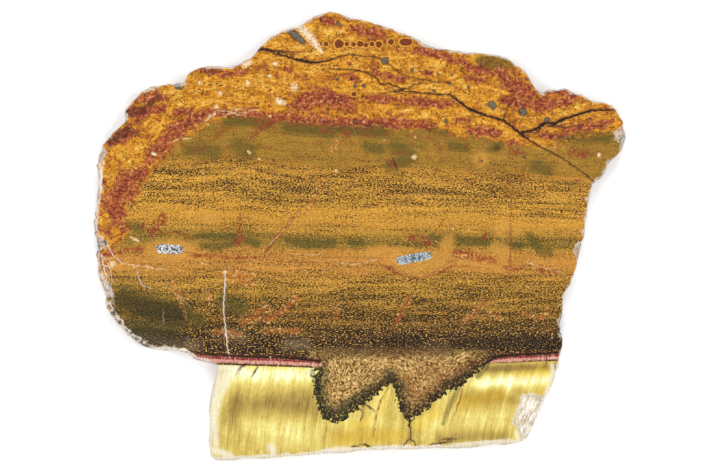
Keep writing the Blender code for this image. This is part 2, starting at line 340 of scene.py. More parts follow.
lineGroups = {
    "darkCracks": {
        "crestSeam": [(250, 55, .3), (256, 51, 1.3), (264, 49, 1.7), (274, 51, 1.3),
                      (288, 52, .8), (301, 52, .2)],
        "crestStrand": [(266, 51, .6), (278, 54.5, 1.0), (288, 57, 1.3), (297, 59.5, 1.7),
                        (306, 61.5, 2.0), (318, 62.5, 1.7), (332, 59, 1.0), (345, 55.5, .8),
                        (352, 54.5, .8), (362, 56, .7), (376, 57.5, .7), (387, 63, .6),
                        (395, 69, .6), (403, 74.5, .6), (419, 79, .6), (440, 82, .7), (449, 83, .9)],
        "second": [(322, 68, .2), (337, 69.5, .7), (355, 70, .8), (368, 73.5, .8), (376, 78, .9),
                   (381, 84, 1.0), (388, 83.3, .8), (395, 86, .9), (401, 88.7, .9), (408, 88, .7),
                   (414, 84.2, .7), (424, 83.2, .6), (446, 82.5, .4)],
        "main": [(372, 93, .2), (386, 92.5, .5), (401, 91, .9), (419, 92.5, .9), (434, 94, 1.0),
                 (448, 94.5, 1.0), (455, 98, 1.4), (462, 104, 1.5), (471, 110, 1.7),
                 (486, 115.5, 1.6), (497, 118.5, 1.6), (504, 120.5, 1.7), (511, 126, 1.8),
                 (519, 132.5, 1.6), (527, 138.5, 1.0), (536, 144.5, .9), (549, 151, .8),
                 (562, 158, .8), (574, 166, .8), (586, 175, .8), (596, 183, .7)],
        "noseCrack": [(519, 133, 1.3), (531, 130.5, 1.6), (538, 128, 1.9), (545, 123, 2.1),
                      (554, 123.5, 1.8), (564, 119, 1.9), (577, 115, 1.8), (588, 111.5, 1.4),
                      (600, 110, 1.2), (616, 110, .8)],
        "noseLower": [(524, 133.5, .3), (536, 133.5, .6), (543, 126.5, .8), (552, 126.5, .8),
                      (562, 127.3, .8), (577, 126, .5), (588, 122, .3)],
        "cross": [(515, 97, .3), (508.5, 106, .8), (505.5, 113, .7), (504, 119, .6)],
        "seamRoof": [(184, 350, .5), (200, 353.5, 1.0), (225, 355.5, 1.2), (254, 357, 1.4),
                     (289, 357.7, 1.7), (320, 361, 1.7)],
        "seamRoofRight": [(487, 362.5, 1.1), (492, 359, 1.8), (499, 356.3, 1.9),
                          (515, 355.0, 1.6), (540, 353.5, 1.6), (562, 352.0, 1.7)],
        "tip": [(409.5, 423, 1.3), (410.5, 431, .9), (410, 438, .8), (405, 443.5, .8),
                (401.5, 447, .6)],
        "tipFork": [(410, 438, .7), (414.5, 442.5, .8), (417, 447, .5)],
        "fibreNickA": [(245, 364.5, 1.3), (240.5, 368, .8), (235.5, 375, .4)],
        "fibreNickB": [(258, 366.5, .6), (254.5, 372, 1.0), (252, 377, .4)],
        "leftWeb": [(95, 240, .5), (98, 252, .8), (101, 263, .5), (103, 276, .4)],
        "footDashA": [(441, 440, .5), (447, 439, .8), (456, 438.5, .4)],
        "footDashB": [(431, 444.5, .6), (441, 443, 1.0), (451, 441.5, .4)],
        "footMarkA": [(352, 446.5, .6), (356, 446, 1.1), (358, 447, .5)],
        "footMarkB": [(362, 444.5, .8), (367, 445.5, 1.2), (371, 447.5, .6)],
        "cornerCrack": [(519, 402.5, .3), (530, 400, .5), (538, 399.5, 1.0), (547, 396.5, .9)],
        "pinkCrack": [(545, 354, .4), (546.5, 358, .8), (546, 363, .6)],
        "lobeNick": [(360, 409, .8), (363, 413, .7), (361, 420, .8)],
        "lobeNickB": [(365, 405, .8), (370, 407.5, .9), (374, 411, .5)],
        "smallA": [(392, 157, .4), (395, 164, .8), (397, 170, .6)],
        "smallB": [(437, 168, .6), (434.5, 174, .6)],
    },
    "brownVeins": {
        "healed": [(514, 98, .3), (513.5, 130, .5), (512, 175, .5), (511, 220, .7),
                   (510.5, 250, .8), (510, 276, .5)],
        "fibreLine": [(388, 388, .6), (384, 395, .8), (380, 402, 1.1), (377, 413, 1.3),
                      (375, 424, 1.0), (373.5, 436, .6)],
        "fibreBrown": [(462, 389, 1.0), (460, 400, 1.2), (455, 413, .7), (452, 420, .3)],
        "lens": [(381, 264, .8), (388, 268.5, 1.6), (395, 272.5, 1.2), (406, 276.5, .9), (420, 277.5, .8),
                 (434, 275.5, .9), (444, 270.5, 1.3), (452, 266.5, 1.0), (466, 266, .8), (490, 269, .6)],
        "eyeRoof": [(150, 237, .8), (158, 234, .8), (170, 233, .7), (176, 231.5, 1.4),
                    (184, 233.5, 1.2), (191, 238, .6)],
        "leanA": [(242, 206, .4), (240, 215, .8), (240, 226, 1.3), (238, 236, 1.8), (241, 243, .7)],
        "leanB": [(222, 204, .3), (224.5, 214, .6), (225, 228, .5)],
        "diagonalRed": [(300, 209, 1.2), (291, 221, 2.6), (283, 231, 3.2), (274, 240, 3.2), (267, 250, 2)],
        "leanC": [(526, 162, .4), (522, 178, .9), (518, 196, .5)],
        "leanD": [(430, 152, .3), (452, 136, .4), (470, 143, .3)],
        "wave": [(254, 66, .6), (262, 67.5, 1.0), (270, 70, .5)],
        "waveB": [(290, 69, 1.0), (296, 73, .8), (304, 79, 1.0), (312, 78, .8), (319, 75.5, .9),
                  (324, 79, .9), (330, 78, .7), (337, 75, .8), (345, 75.5, .6), (350, 77, .8)],
        "bandA": [(195, 257, .5), (205, 255, 1.2), (214, 254.5, .7), (246, 261, .5)],
        "bandB": [(190, 253, .3), (213, 256.5, .7), (232, 258, .6), (262, 257, .5), (290, 256, .3)],
        "capA": [(384, 30, .5), (396, 33, .7), (410, 38, .8)],
        "rowTop": [(362, 50, .3), (376, 49, .6), (390, 50.5, .5)],
        "mottleA": [(318, 300, .3), (315, 310, .5)],
        "orangeCrackA": [(488, 298, .4), (480, 308, .8), (470, 319, .9), (458, 326, .6)],
        "orangeCrackB": [(300, 292, .3), (290, 303, .8), (276, 314, .9), (262, 318, .6)],
        "orangeCrackC": [(412, 294, .4), (406, 304, .9), (400, 316, 1.0), (392, 328, .6)],
    },
    "pinkStrip": {
        "left": [(184, 352, .8), (194, 356, 2.2), (206, 358.8, 2.9), (240, 360.6, 2.7), (280, 361.8, 2.6),
                 (319, 364.2, 2.3)],
        "right": [(492, 361.5, 1.4), (504, 359.6, 2.3), (530, 358.2, 2.5), (562, 356.6, 2.6)],
    },
    "paleVeins": {
        "diagonal": [(299, 211, .3), (291, 221, .5), (283, 231, .7), (274, 240, .8),
                     (268, 246, .5), (262, 252, .3)],
        "creamA": [(122, 263.5, .6), (131, 264.5, 1.0), (138, 265.5, 1.5), (145, 266, 1.2),
                   (150, 267.5, 1.4), (160, 269, .7), (169, 270, .4)],
        "creamB": [(196, 259, .3), (203, 263, .9), (208, 264.5, .7)],
        "creamC": [(325, 258, .3), (338, 262, .6), (350, 264.5, 1.0), (362, 263, .7), (376, 259, .7)],
        "creamD": [(527, 262, .4), (532, 264, 1.2), (540, 267, .6), (556, 271, .6), (562, 273, .3)],
        "creamE": [(295, 254, .3), (308, 254, .6), (317, 255, .8), (322, 252, .5)],
        "bandCreamA": [(212, 114, .5), (219, 110.5, .8), (229, 111.5, .8), (238, 108.5, 1.0),
                       (247, 111, .8), (259, 109.5, .5)],
        "bandCreamB": [(224, 116.5, .5), (232, 113.5, .9), (239, 115, .8), (249, 112.5, .5)],
        "bandCreamC": [(172, 142, .5), (180, 139, 1.4), (190, 138, 1.1), (196, 136, .6)],
        "bandCreamD": [(203, 122, .5), (210, 118, 1.8), (216, 114, 1.0)],
    },
    "whiteVeins": {
        "upright": [(225, 275, 1.1), (225, 290, 1.1), (223.5, 306, 1.2), (225.5, 328, 1.2),
                    (227, 344, 1.2), (229, 356, 1.0)],
        "webA": [(95, 203, .8), (97, 213, 1.0), (95, 219, 1.2), (97, 229, 1.0), (101, 239, 1.0),
                 (107, 245, 1.1), (112, 253, .9), (115, 257, .8), (121, 262, .8)],
        "webB": [(97, 219, .7), (93.5, 229, .8), (95, 239, 1.0), (98, 244, 1.3), (105, 242, 1.4)],
        "webC": [(97, 252, .8), (101, 257, .9), (103, 264, .9), (105, 271, 1.1), (107, 277, .9),
                 (104, 284, 1.0), (106, 291, .9), (102, 298, .8)],
        "webD": [(97, 266, .7), (104, 265, .9), (110, 268, .8), (112, 279, .6), (111, 288, .8),
                 (114, 296, .6)],
        "webE": [(97, 252, .6), (104, 257, .7), (111, 261, .6)],
        "webF": [(106, 291, .6), (112, 297, .7), (114, 305, .5)],
        "curl": [(137, 270, .5), (139, 279, .7), (143, 285, .7), (149, 288, .6)],
        "cut": [(163, 310, .5), (163.5, 322, .5)],
        "cutB": [(165, 285, .1), (178, 296, .2), (190, 306, .1)],
    },
}

# Patches that steer the stone's colours, one channel each
patchGroups = {
    "tintFirst": {
        "red": [
            [(232, 112, 4), (214, 112, 5), (200, 116, 6), (188, 122, 7), (176, 131, 7),
             (166, 140, 7), (157, 150, 6), (149, 159, 6)],
            [(144, 172, 5), (128, 180, 10), (122, 192, 12), (114, 203, 11), (116, 214, 8),
             (124, 226, 6)],
            [(232, 113, 4), (262, 116, 4), (290, 118, 5), (320, 121, 5), (350, 123, 5),
             (380, 123, 6), (410, 124, 5), (432, 127, 4)],
            [(300, 104, 9), (324, 99, 9), (346, 103, 9)], [(330, 91, 4), (334, 96, 5)],
            [(137, 99, 4), (148, 98, 5), (158, 96, 5), (168, 99, 3)],
            [(130, 109, 3), (142, 111, 5), (156, 110, 5), (166, 106, 3)],
            [(110, 142, 6), (120, 137, 8), (130, 131, 7)], [(128, 112, 6), (140, 114, 5)],
            [(175, 112, 3), (184, 111, 4), (193, 110, 3)], [(203, 70, 3), (212, 71, 4), (220, 70, 3)],
            [(222, 76, 3), (234, 73, 3), (246, 72, 2)], [(284, 67, 4), (289, 69, 4)],
            [(352, 78, 3), (356, 79, 3)], [(348, 64, 2), (352, 64, 2)],
            [(352, 28, 3), (366, 32, 4), (382, 36, 4)], [(322, 20, 3), (334, 22, 4)],
            [(416, 50, 4), (432, 54, 4), (448, 58, 4), (464, 62, 3)],
            [(368, 97, 3), (376, 98, 4), (384, 100, 4), (400, 99, 3)],
            [(410, 102, 5), (424, 102, 6), (438, 105, 5), (450, 103, 3)],
            [(386, 75, 3), (396, 78, 3), (404, 80, 3)], [(374, 70, 3), (380, 76, 2)],
            [(420, 71, 2), (432, 73, 2.5)], [(466, 67, 4), (478, 69, 5), (488, 72, 4)],
            [(470, 79, 4), (482, 80, 4)], [(498, 71, 6), (508, 80, 8), (516, 88, 10), (528, 94, 9)],
            [(506, 100, 6), (520, 103, 7), (540, 105, 6), (560, 103, 5), (574, 101, 3)],
            [(550, 92, 3), (566, 93, 4), (578, 98, 3)],
            [(543, 135, 4), (554, 136, 4), (570, 135, 3)],
            [(566, 130, 3), (582, 128, 4), (598, 124, 4), (612, 121, 3)], [(591, 121, 4)],
            [(456, 120, 3), (468, 120, 3)], [(470, 131, 4), (482, 130, 5), (498, 134, 4)],
            [(150, 233, 4), (156, 226, 5), (163, 217, 4)], [(146, 226, 4), (150, 236, 2)],
            [(104, 255, 3), (124, 251, 2.4), (144, 248, 2)], [(98, 228, 3), (110, 234, 3)],
            [(410, 237, 3), (422, 239, 4), (432, 242, 3)],
            [(484, 238, 2), (487, 235, 2)], [(448, 250, 2), (458, 253, 2)],
            [(443, 250, 3), (456, 253, 3.4), (470, 257, 4.4), (486, 260, 4), (502, 262, 2.4)],
            [(513, 145, 5), (520, 152, 5)], [(572, 152, 4), (584, 156, 3)], [(578, 178, 3)],
            [(252, 136, 2), (264, 127, 2.5), (274, 122, 2)], [(344, 128, 3), (348, 136, 2)],
            [(388, 160, 2), (394, 165, 3)], [(106, 186, 3), (98, 172, 2)],
            [(186, 253, 1.6), (200, 256, 1.8), (212, 259, 1.4)], [(226, 258, 1.6), (258, 257, 1.6)],
            [(239, 229, 3), (241, 237, 4.4), (236, 244, 3)],
            [(540, 271, 2), (556, 271, 2)], [(500, 268, 2), (520, 270, 2)],
            [(390, 268, 2), (396, 272, 2)],
        ],
        "yellow": [
            [(166, 92, 9), (196, 84, 9), (230, 84, 9), (262, 82, 9), (290, 84, 8)],
            [(176, 104, 6), (206, 100, 7), (236, 98, 7)], [(150, 124, 6), (160, 128, 5)],
            [(118, 150, 8), (130, 156, 8), (140, 150, 7)], [(104, 172, 6), (112, 172, 5)],
            [(270, 60, 7), (300, 68, 7), (340, 64, 5), (366, 64, 5)],
            [(270, 44, 5), (290, 46, 5), (316, 52, 6), (350, 50, 5), (388, 54, 6)],
            [(312, 30, 5), (330, 34, 5), (352, 38, 4)], [(380, 60, 5), (410, 62, 8), (436, 68, 7)],
            [(362, 84, 6), (384, 90, 6), (420, 88, 6), (448, 90, 6)],
            [(340, 86, 6), (362, 92, 5)], [(400, 110, 5), (440, 114, 6), (470, 116, 5)],
            [(452, 76, 6), (468, 88, 7), (486, 98, 9), (494, 108, 7)],
            [(480, 90, 8), (496, 94, 6)], [(500, 128, 6), (508, 136, 5)],
            [(548, 116, 5), (570, 110, 5), (592, 106, 4)], [(532, 122, 5), (544, 131, 3)],
            [(540, 142, 5), (560, 146, 5)], [(584, 126, 3), (604, 116, 4)],
            [(150, 249, 7), (166, 249, 13), (178, 249, 13), (190, 249, 7)],
            [(100, 236, 4), (106, 214, 4)], [(108, 262, 5), (120, 270, 3)],
            [(396, 256, 9), (412, 263, 13), (430, 262, 13), (444, 254, 9), (448, 240, 7)],
            [(370, 252, 5), (384, 250, 6)], [(500, 230, 8), (504, 222, 5)], [(517, 229, 6)],
            [(496, 248, 7), (505, 252, 6), (500, 262, 5)], [(481, 160, 9)],
            [(460, 262, 4), (500, 268, 4)], [(204, 215, 7), (214, 218, 7)],
        ],
        "green": [
            [(228, 121, 5), (248, 122, 5), (268, 124, 5)], [(238, 146, 9), (250, 152, 9)],
            [(190, 150, 8), (215, 152, 8)], [(330, 128, 3), (368, 132, 6), (384, 132, 6)],
            [(288, 128, 6), (310, 130, 6), (330, 133, 6)], [(430, 130, 3), (446, 132, 4)],
            [(395, 146, 8), (410, 158, 8), (390, 166, 6)], [(380, 150, 6), (366, 146, 5)],
            [(452, 146, 6), (466, 148, 5)], [(492, 148, 6), (500, 146, 5)],
            [(536, 166, 8), (548, 170, 7)],
            [(558, 140, 4), (582, 138, 5), (606, 138, 5)], [(128, 224, 4), (140, 228, 5)],
            [(198, 236, 3), (216, 236, 4), (236, 237, 4)], [(202, 246, 4), (218, 247, 4), (234, 244, 3)],
            [(248, 240, 5), (256, 244, 5)], [(288, 240, 4), (306, 243, 6), (322, 244, 6), (332, 243, 5)],
            [(352, 243, 5), (362, 243, 4)], [(430, 237, 3), (462, 240, 4), (484, 242, 5)],
            [(514, 246, 4), (521, 246, 4)], [(530, 236, 4), (540, 250, 5), (550, 252, 4)],
            [(482, 60, 7), (496, 62, 7), (510, 64, 5)], [(492, 66, 5), (484, 64, 5)],
            [(124, 296, 14), (150, 306, 16), (184, 316, 12)], [(134, 328, 10), (170, 328, 10)],
            [(224, 300, 8), (240, 306, 8)],
            [(194, 318, 7), (200, 322, 6)], [(224, 452, 5), (236, 454, 4)],
        ],
    },
    "tintSecond": {
        "pale": [
            [(300, 27, 5.2), (309, 36, 5.4), (316, 45, 4.4), (322, 53, 2.0)],
            [(275, 64, 3.2)], [(270, 76, 2.5)], [(294, 87, 4.8)], [(278, 101, 4.2), (284, 103, 3)],
            [(248, 83, 2.9)], [(220, 93, 2.9)], [(200, 83, 2.7)], [(216, 107, 2.6)], [(264, 45, 1.8)],
            [(270, 116, 1.8)], [(250, 153, 1.6), (247, 151, .8)], [(259, 159, 1.7)],
            [(414, 157, 3.2)], [(384, 140, 1.2)], [(415, 137, 1.6)], [(203, 173, 1.5)],
            [(336, 171, 2)], [(112, 264, 3.8), (113, 265, 3.4)], [(250, 62, 3), (244, 66, 3)],
            [(497, 75, 1)], [(104, 160, 1.5), (102, 170, 1.6), (100, 188, 1.5)],
            [(152, 153, 2), (156, 155, 2)], [(210, 116, 2.5)], [(552, 338, 1.5)],
            [(211, 342, .9)], [(236, 344, .8)], [(270, 357, 1)], [(287, 356, .8)], [(208, 125, 1.3)],
            [(131, 237, 1.3), (138, 241, 1.6)], [(225, 272, 2.6)], [(237, 271, 1.5)], [(138, 266, 1.5)],
            [(103, 292, 1.4), (106, 304, 1.6)], [(114, 322, 2.2), (124, 334, 3)],
            [(128, 338, 2.5), (140, 347, 2)], [(146, 349, 1.6), (186, 350, 1.4)], [(134, 208, 1)],
            [(286, 83, .8)],
            [(211, 211, .9)], [(158, 212, .9)], [(136, 210, .9)], [(453, 229, 1.6)],
            [(599, 155, 2.6)], [(284, 78, 1.5)], [(100, 217, 1.4)], [(104, 200, 1)],
            [(334, 203, .8)],
        ],
        "grey": [
            [(385, 61, 4.0)], [(412, 70, 2.2)], [(338.5, 24, 2.4)], [(446, 121, 2.4)],
            [(434, 91, 2)], [(450, 83, 1.8)], [(491, 104, 3.4), (493, 106, 3.8)], [(523, 112, 4.6)],
            [(547, 120, 3.2)], [(364, 86, 2.2)], [(468.5, 87.5, 1.9)], [(482, 161, 1.5)],
            [(178, 86, 4), (180, 87, 3)], [(289, 31, 2.6), (296, 36, 4), (303, 42, 2.6)],
            [(354, 122, 1.6)], [(355, 86, 2)], [(338, 79, 2)], [(524, 157, 1.8)], [(97, 244, 4)],
            [(104, 243, 3)], [(420, 79, .8)], [(400, 73, .8)], [(182, 339, 1.6), (188, 338, 1.6)],
            [(426, 71, 1.6)], [(438, 74, 1.6)], [(452, 75, 1.6)], [(456, 88, 1.2)],
        ],
        "orange": [
            [(244, 324, 6), (256, 316, 6), (266, 308, 6)], [(297, 297, 4), (284, 310, 4), (268, 320, 5)],
            [(336, 304, 3), (337, 318, 3)], [(411, 297, 3), (404, 308, 3.2), (397, 322, 3)],
            [(484, 302, 3), (476, 312, 3), (462, 322, 3)], [(524, 314, 2), (540, 318, 3), (548, 308, 2.4)],
            [(232, 282, 3), (244, 284, 3), (254, 285, 3)], [(206, 292, 3), (212, 306, 3)],
            [(172, 282, 2), (180, 300, 2.5), (186, 318, 2)], [(214, 332, 4), (240, 334, 4)],
            [(262, 331, 3), (300, 331, 3)], [(490, 312, 3), (500, 318, 3)],
            [(305, 215, 3), (315, 195, 3), (322, 180, 3)], [(222, 274, 4), (238, 276, 6), (254, 277, 4)],
            [(124, 264, 2.6), (140, 266, 3.2), (156, 268, 2.6)], [(462, 256, 2.4), (480, 260, 2.8)],
            [(170, 245, .1)], [(332, 150, 3), (340, 140, 3)],
        ],
    },
    "tintThird": {
        "dark": [
            [(384, 341, 5), (400, 340, 7), (418, 341, 5)], [(455, 343, 6), (490, 343, 8), (556, 343, 8)],
            [(150, 338, 6), (180, 340, 7)], [(368, 392, 6), (346, 404, 7), (330, 412, 6)],
            [(389, 372, 5), (393, 380, 6)], [(444, 384, 4), (456, 380, 4), (470, 374, 3)],
            [(432, 398, 4), (444, 392, 3)],
            [(402, 408, 3), (406, 416, 3)], [(318, 384, 3), (320, 398, 3)],
            [(122, 300, 10), (150, 308, 13), (180, 316, 12)], [(136, 332, 7), (176, 338, 8)],
            [(112, 141, 5), (122, 134, 6), (130, 130, 4)], [(128, 113, 5), (142, 110, 6)],
            [(158, 98, 4), (150, 104, 4)], [(212, 71, 4)], [(497, 148, 4)], [(486, 366, 4), (478, 376, 4)],
        ],
        # light: a painted grey sheen on the dark band and on the tongues
        "light": [
            [(336, 376, 10), (352, 374, 12)], [(418, 376, 8), (446, 366, 10)],
            [(340, 358, 8), (360, 366, 10)], [(415, 358, 8), (440, 356, 10)], [(412, 400, 6), (414, 410, 4)],
            [(468, 364, 5), (478, 360, 5)], [(228, 334, 5), (242, 336, 5)], [(288, 344, 6), (306, 345, 5)],
            [(136, 334, 6), (170, 342, 5), (196, 346, 5)],
        ],
        "ringed": [
            [(326, 44, 2.6)], [(339, 44, 4.6)], [(347, 44, 2.4)], [(353.5, 44.5, 2.4)], [(360, 44, 3.2)],
            [(366, 45, 2.4)], [(372, 44, 2.4)], [(379, 44.5, 3.4)], [(391, 42, 3.2)],
            [(403, 42, 3.6), (409, 42, 3.4)], [(354, 94, 2.6)],
        ],
    },
    "tintFourth": {
        # cream: pale wear along the foot and corner, and a painted whitish sheen at the fibres' left margin
        "creamWearAndSheen": [
            [(226, 376, 8), (217, 396, 7), (214, 418, 5), (216, 444, 4)], [(222, 368, 5), (240, 369, 4)],
            [(552, 365, 2.6), (552, 380, 3), (546, 394, 3)], [(271, 447, 5), (273, 451, 5)],
            [(214, 450, 5), (232, 456, 3)], [(322, 452, 3), (340, 449, 3), (372, 449, 2), (400, 447, 2)],
            [(452, 444.5, 1.4), (480, 442, 1.4), (512, 440, 1.6)], [(516, 432, 2.4), (519, 440, 3)],
        ],
        "gold": [
            [(541, 364, 1.5), (541, 394, 1.5)], [(549, 364, 1.6), (549, 387, 1.4)],
            [(352, 430, 7), (376, 416, 6), (384, 396, 5)], [(340, 438, 8), (366, 436, 8), (398, 436, 8)],
            [(420, 424, 7), (436, 414, 7)], [(520, 376, 6), (545, 374, 6)], [(460, 402, 7), (500, 396, 7)],
        ],
        # umber: painted shade along the tongues' tops and sides, and a real olive-brown vein in the fibres
        "shadeAndOliveVein": [
            [(391, 376, 4), (394, 380, 4)], [(384, 382, 3), (372, 391, 3)], [(312, 372, 3), (316, 384, 3)],
            [(320, 356, 6), (356, 352, 7), (400, 352, 7), (450, 352, 7)],
            [(458, 389, 3.4), (453, 400, 3.4), (447, 412, 3.0), (443, 424, 2.4)],
        ],
    },
}

rowBend = {  # how far the layers lie below level, across the photograph
    "x": (90, 150, 200, 250, 271, 302, 360, 400, 432, 500, 552, 590),
    "drop": (-3, -7, -7, -9, -4, 0, 1, 0, 3, 6, 9, 12),
}

paintedSheenBands = {  # painted sheen: bright and dark silk bands across the golden fibres, their shifting reflection drawn into the colour
    "roofLeft": ((236, 374), (312, 375), 9, 0.50),
    "leftMargin": ((222, 380), (214, 420), 6, 0.25),
    "shadeLeft": ((236, 405), (310, 404), 12, -0.40),
    "shadeLeftLow": ((226, 420), (250, 440), 9, -0.18),
    "middleLow": ((250, 430), (300, 432), 14, 0.25),
    "roofRightShade": ((490, 369), (556, 367), 4.5, -0.55),
    "roofRight": ((478, 384), (548, 379), 7.5, 0.52),
    "shadeRight": ((466, 399), (520, 395), 8.5, -0.42),
    "lowRight": ((425, 424), (500, 414), 9, 0.16),
    "footRight": ((440, 440), (505, 436), 6, -0.28),
    "underLobes": ((336, 436), (408, 437), 8, -0.2),
    "gapGlow": ((384, 398), (372, 420), 8, 0.22),
    "tipGlow": ((352, 418), (346, 428), 6, 0.2),
    "cornerGlow": ((508, 392), (520, 396), 5, 0.28),
}


def smoothStroke(stroke, perSpan=5):
    # evenly eased points through a given stroke
    knots = np.array(stroke, float)
    if len(knots) == 1:
        return np.repeat(knots, 2, axis=0)
    if len(knots) == 2:
        return knots
    padded = np.concatenate([2 * knots[:1] - knots[1:2], knots, 2 * knots[-1:] - knots[-2:-1]])
    t = np.arange(perSpan)[:, None] / perSpan
    spans = []
    for a, b, c, d in zip(padded, padded[1:], padded[2:], padded[3:]):
        spans.append(0.5 * (2 * b + (c - a) * t + (2 * a - 5 * b + 4 * c - d) * t ** 2
                            + (3 * b - a - 3 * c + d) * t ** 3))
    return np.concatenate(spans + [knots[-1:]])


def strokeField(stroke, px, py, reach):
    # signed distance to a stroke and its half width there, for points within reach
    line = smoothStroke(stroke)
    low = line[:, :2].min(axis=0) - reach
    high = line[:, :2].max(axis=0) + reach
    near = np.flatnonzero((px > low[0]) & (px < high[0]) & (py > low[1]) & (py < high[1]))
    x, y = px[near], py[near]
    best = np.full(len(near), np.inf)
    signed = np.zeros(len(near))
    width = np.zeros(len(near))
    for start, end in zip(line, line[1:]):
        along = end[:2] - start[:2]
        length2 = max(float(along @ along), 1e-9)
        t = ((x - start[0]) * along[0] + (y - start[1]) * along[1]) / length2
        t = np.clip(t, 0.0, 1.0)
        dx = x - start[0] - t * along[0]
        dy = y - start[1] - t * along[1]
        distance = np.hypot(dx, dy)
        closer = distance < best
        side = np.where(along[0] * dy - along[1] * dx < 0, -1.0, 1.0)
        best = np.where(closer, distance, best)
        signed = np.where(closer, side * distance, signed)
        if len(start) > 2:
            width = np.where(closer, start[2] + t * (end[2] - start[2]), width)
    return near, signed, width


def lineAttribute(lines, px, py):
    # nearest line of a group: signed distance, half width, and how near it is
    reach = 6.0
    signed = np.full(len(px), reach)
    width = np.full(len(px), -1.0)
    gap = np.full(len(px), reach)
    for stroke in lines.values():
        near, distance, half = strokeField(stroke, px, py, reach)
        clear = np.abs(distance) - half
        closer = (clear < gap[near]) & (clear < reach)
        chosen = near[closer]
        gap[chosen] = clear[closer]
        signed[chosen] = distance[closer]
        width[chosen] = half[closer]
    width = np.where(gap > 2.5, -1.0, width)
    return np.stack([signed, width, gap], axis=1)


def patchAttribute(channels, px, py):
    columns = []
    for strokes in channels.values():
        field = np.zeros(len(px))
        for stroke in strokes:
            reach = 2.6 * max(point[2] for point in stroke)
            near, distance, half = strokeField(stroke, px, py, reach)
            strength = np.exp(-(distance / np.maximum(half, 0.1)) ** 2 * 0.9)
            field[near] = np.maximum(field[near], strength)
        columns.append(field)
    while len(columns) < 3:
        columns.append(np.zeros(len(px)))
    return np.stack(columns[:3], axis=1)


def edgeDistance(line, px, py):
    # signed distance to a long open edge, positive below it
    near, distance, _ = strokeField([(x, y) for x, y in line], px, py, 1e4)
    return distance


def fibreAttribute(px, py):
    # where a point lies across the fibres, along them, and how bright their painted sheen is there
    lean = np.interp(px, (200, 300, 380, 440, 500, 560), (.20, .20, .22, .30, .38, .46))
    down = py - 365.0
    across = px + lean * (down - 0.0034 * down ** 2)
    paintedSheenLevel = np.full(len(px), 0.55)
    for (x0, y0), (x1, y1), half, strength in paintedSheenBands.values():
        near, distance, _ = strokeField([(x0, y0), (x1, y1)], px, py, 4 * half)
        paintedSheenLevel[near] += strength * np.exp(-(distance / half) ** 2)
    return np.stack([across, down, paintedSheenLevel], axis=1)


def storeAttribute(mesh, name, values):
    attribute = mesh.attributes.new(name, "FLOAT_VECTOR", "POINT")
    attribute.data.foreach_set("vector", np.ascontiguousarray(values, np.float32).ravel())


def rimDistance(points, outline):
    # pixels in from the slab's outline, up to ten
    tree = kdtree.KDTree(len(outline))
    for i, point in enumerate(outline):
        tree.insert((point[0], point[1], 0), i)
    tree.balance()
    gap = [tree.find((p[0], p[1], 0))[2] for p in points]
    return np.minimum(np.array(gap) / photoView["mmPerPixel"], 10.0)


def lobeAttribute(px, py, seam, rim):
    # the two tongues of brown stone that hang into the fibres
    wide = np.clip(np.minimum(px - 306.0, 494.0 - px) / 6.0, 0.0, 1.0)
    low = np.clip((py - 370.0) / 3.0, 0.0, 1.0)
    inside = np.clip((py - 347.0) / 9.0, 0.0, 1.0) * np.maximum(wide, low)
    warm = np.clip((px - 350.0) / 80.0, 0.0, 1.0)
    return np.stack([inside, warm, rim], axis=1)


def markFace(mesh, points, outline):
    px, py = toPhoto(points[:, 0], points[:, 1])
    drop = np.interp(px, rowBend["x"], rowBend["drop"])
    drop *= np.interp(py, (176, 245, 300), (1.0, 0.35, 0.0))
    row = py - drop
    seam = edgeDistance(seamTop, px, py)
    breccia = -edgeDistance(brecciaEdge, px, py)
    storeAttribute(mesh, "zones", np.stack([row, breccia, seam], axis=1))
    storeAttribute(mesh, "fibres", fibreAttribute(px, py))
    storeAttribute(mesh, "lobes", lobeAttribute(px, py, seam, rimDistance(points, outline)))
    for name, lines in lineGroups.items():
        storeAttribute(mesh, name, lineAttribute(lines, px, py))
    for name, channels in patchGroups.items():
        storeAttribute(mesh, name, patchAttribute(channels, px, py))
    print("marks stored:", ", ".join(a.name for a in mesh.attributes if a.data_type == "FLOAT_VECTOR"))


markFace(slabData, slabPoints, slabOutline)


# What the stone is made of, as shader nodes shared by its face, wall and back

layerColours = [  # (photo row, colour) down the slab
    (112, "#7A5C24"), (122, "#80621F"), (130, "#94702A"), (150, "#A0782E"), (164, "#A2782E"),
    (167, "#BE8838"), (186, "#D49C40"), (208, "#D0983C"), (222, "#C8903A"), (231, "#B98836"),
    (238, "#8C6C28"), (245, "#8F702A"), (251, "#BC8438"), (262, "#C2863E"), (273, "#BB843A"),
    (284, "#C8943C"), (300, "#B88A38"), (318, "#AE7E36"), (330, "#9C7438"), (337, "#6E4C2E"),
    (346, "#4A3424"), (356, "#4E3828")]

speckAmounts = [  # share of dark iron oxide grains
    (112, .18), (135, .20), (156, .24), (163, .34), (169, .54), (178, .66), (190, .72), (204, .66),
    (220, .34), (236, .42), (244, .44), (252, .32), (268, .34), (277, .62), (290, .68), (310, .80),
    (326, .90), (338, .98), (350, .94), (360, .90)]

jasperColours = {
    "yellow": [(0.30, "#96561C"), (0.39, "#BC7624"), (0.48, "#D38D2C"), (0.60, "#DF9D37"),
               (0.72, "#EFBA56")],
    "red": [(0.30, "#542820"), (0.41, "#7E3A28"), (0.51, "#A04E2E"), (0.62, "#B8683A"), (0.76, "#D8985C")],
}

# the golden fibres' colours along their painted sheen, from the dark bands to the painted highlight
fibreAndSheenColours = [
    (0.0, "#8E7238"), (0.22, "#B49A4E"), (0.42, "#CDB25A"), (0.60, "#E0CA6E"), (0.78, "#F0E48A"),
    (0.92, "#FAF4AC"), (1.0, "#FEFCD2")]

lobeColours = [
    (0.0, "#3A2C12"), (0.25, "#6A5024"), (0.42, "#967440"), (0.58, "#B88E4C"), (0.78, "#D6AA62"),
    (1.0, "#ECCB90")]


def spread(row):
    # where a photo row falls on the layer ramps, from 0 to 1
    return (row - 110.0) / 255.0


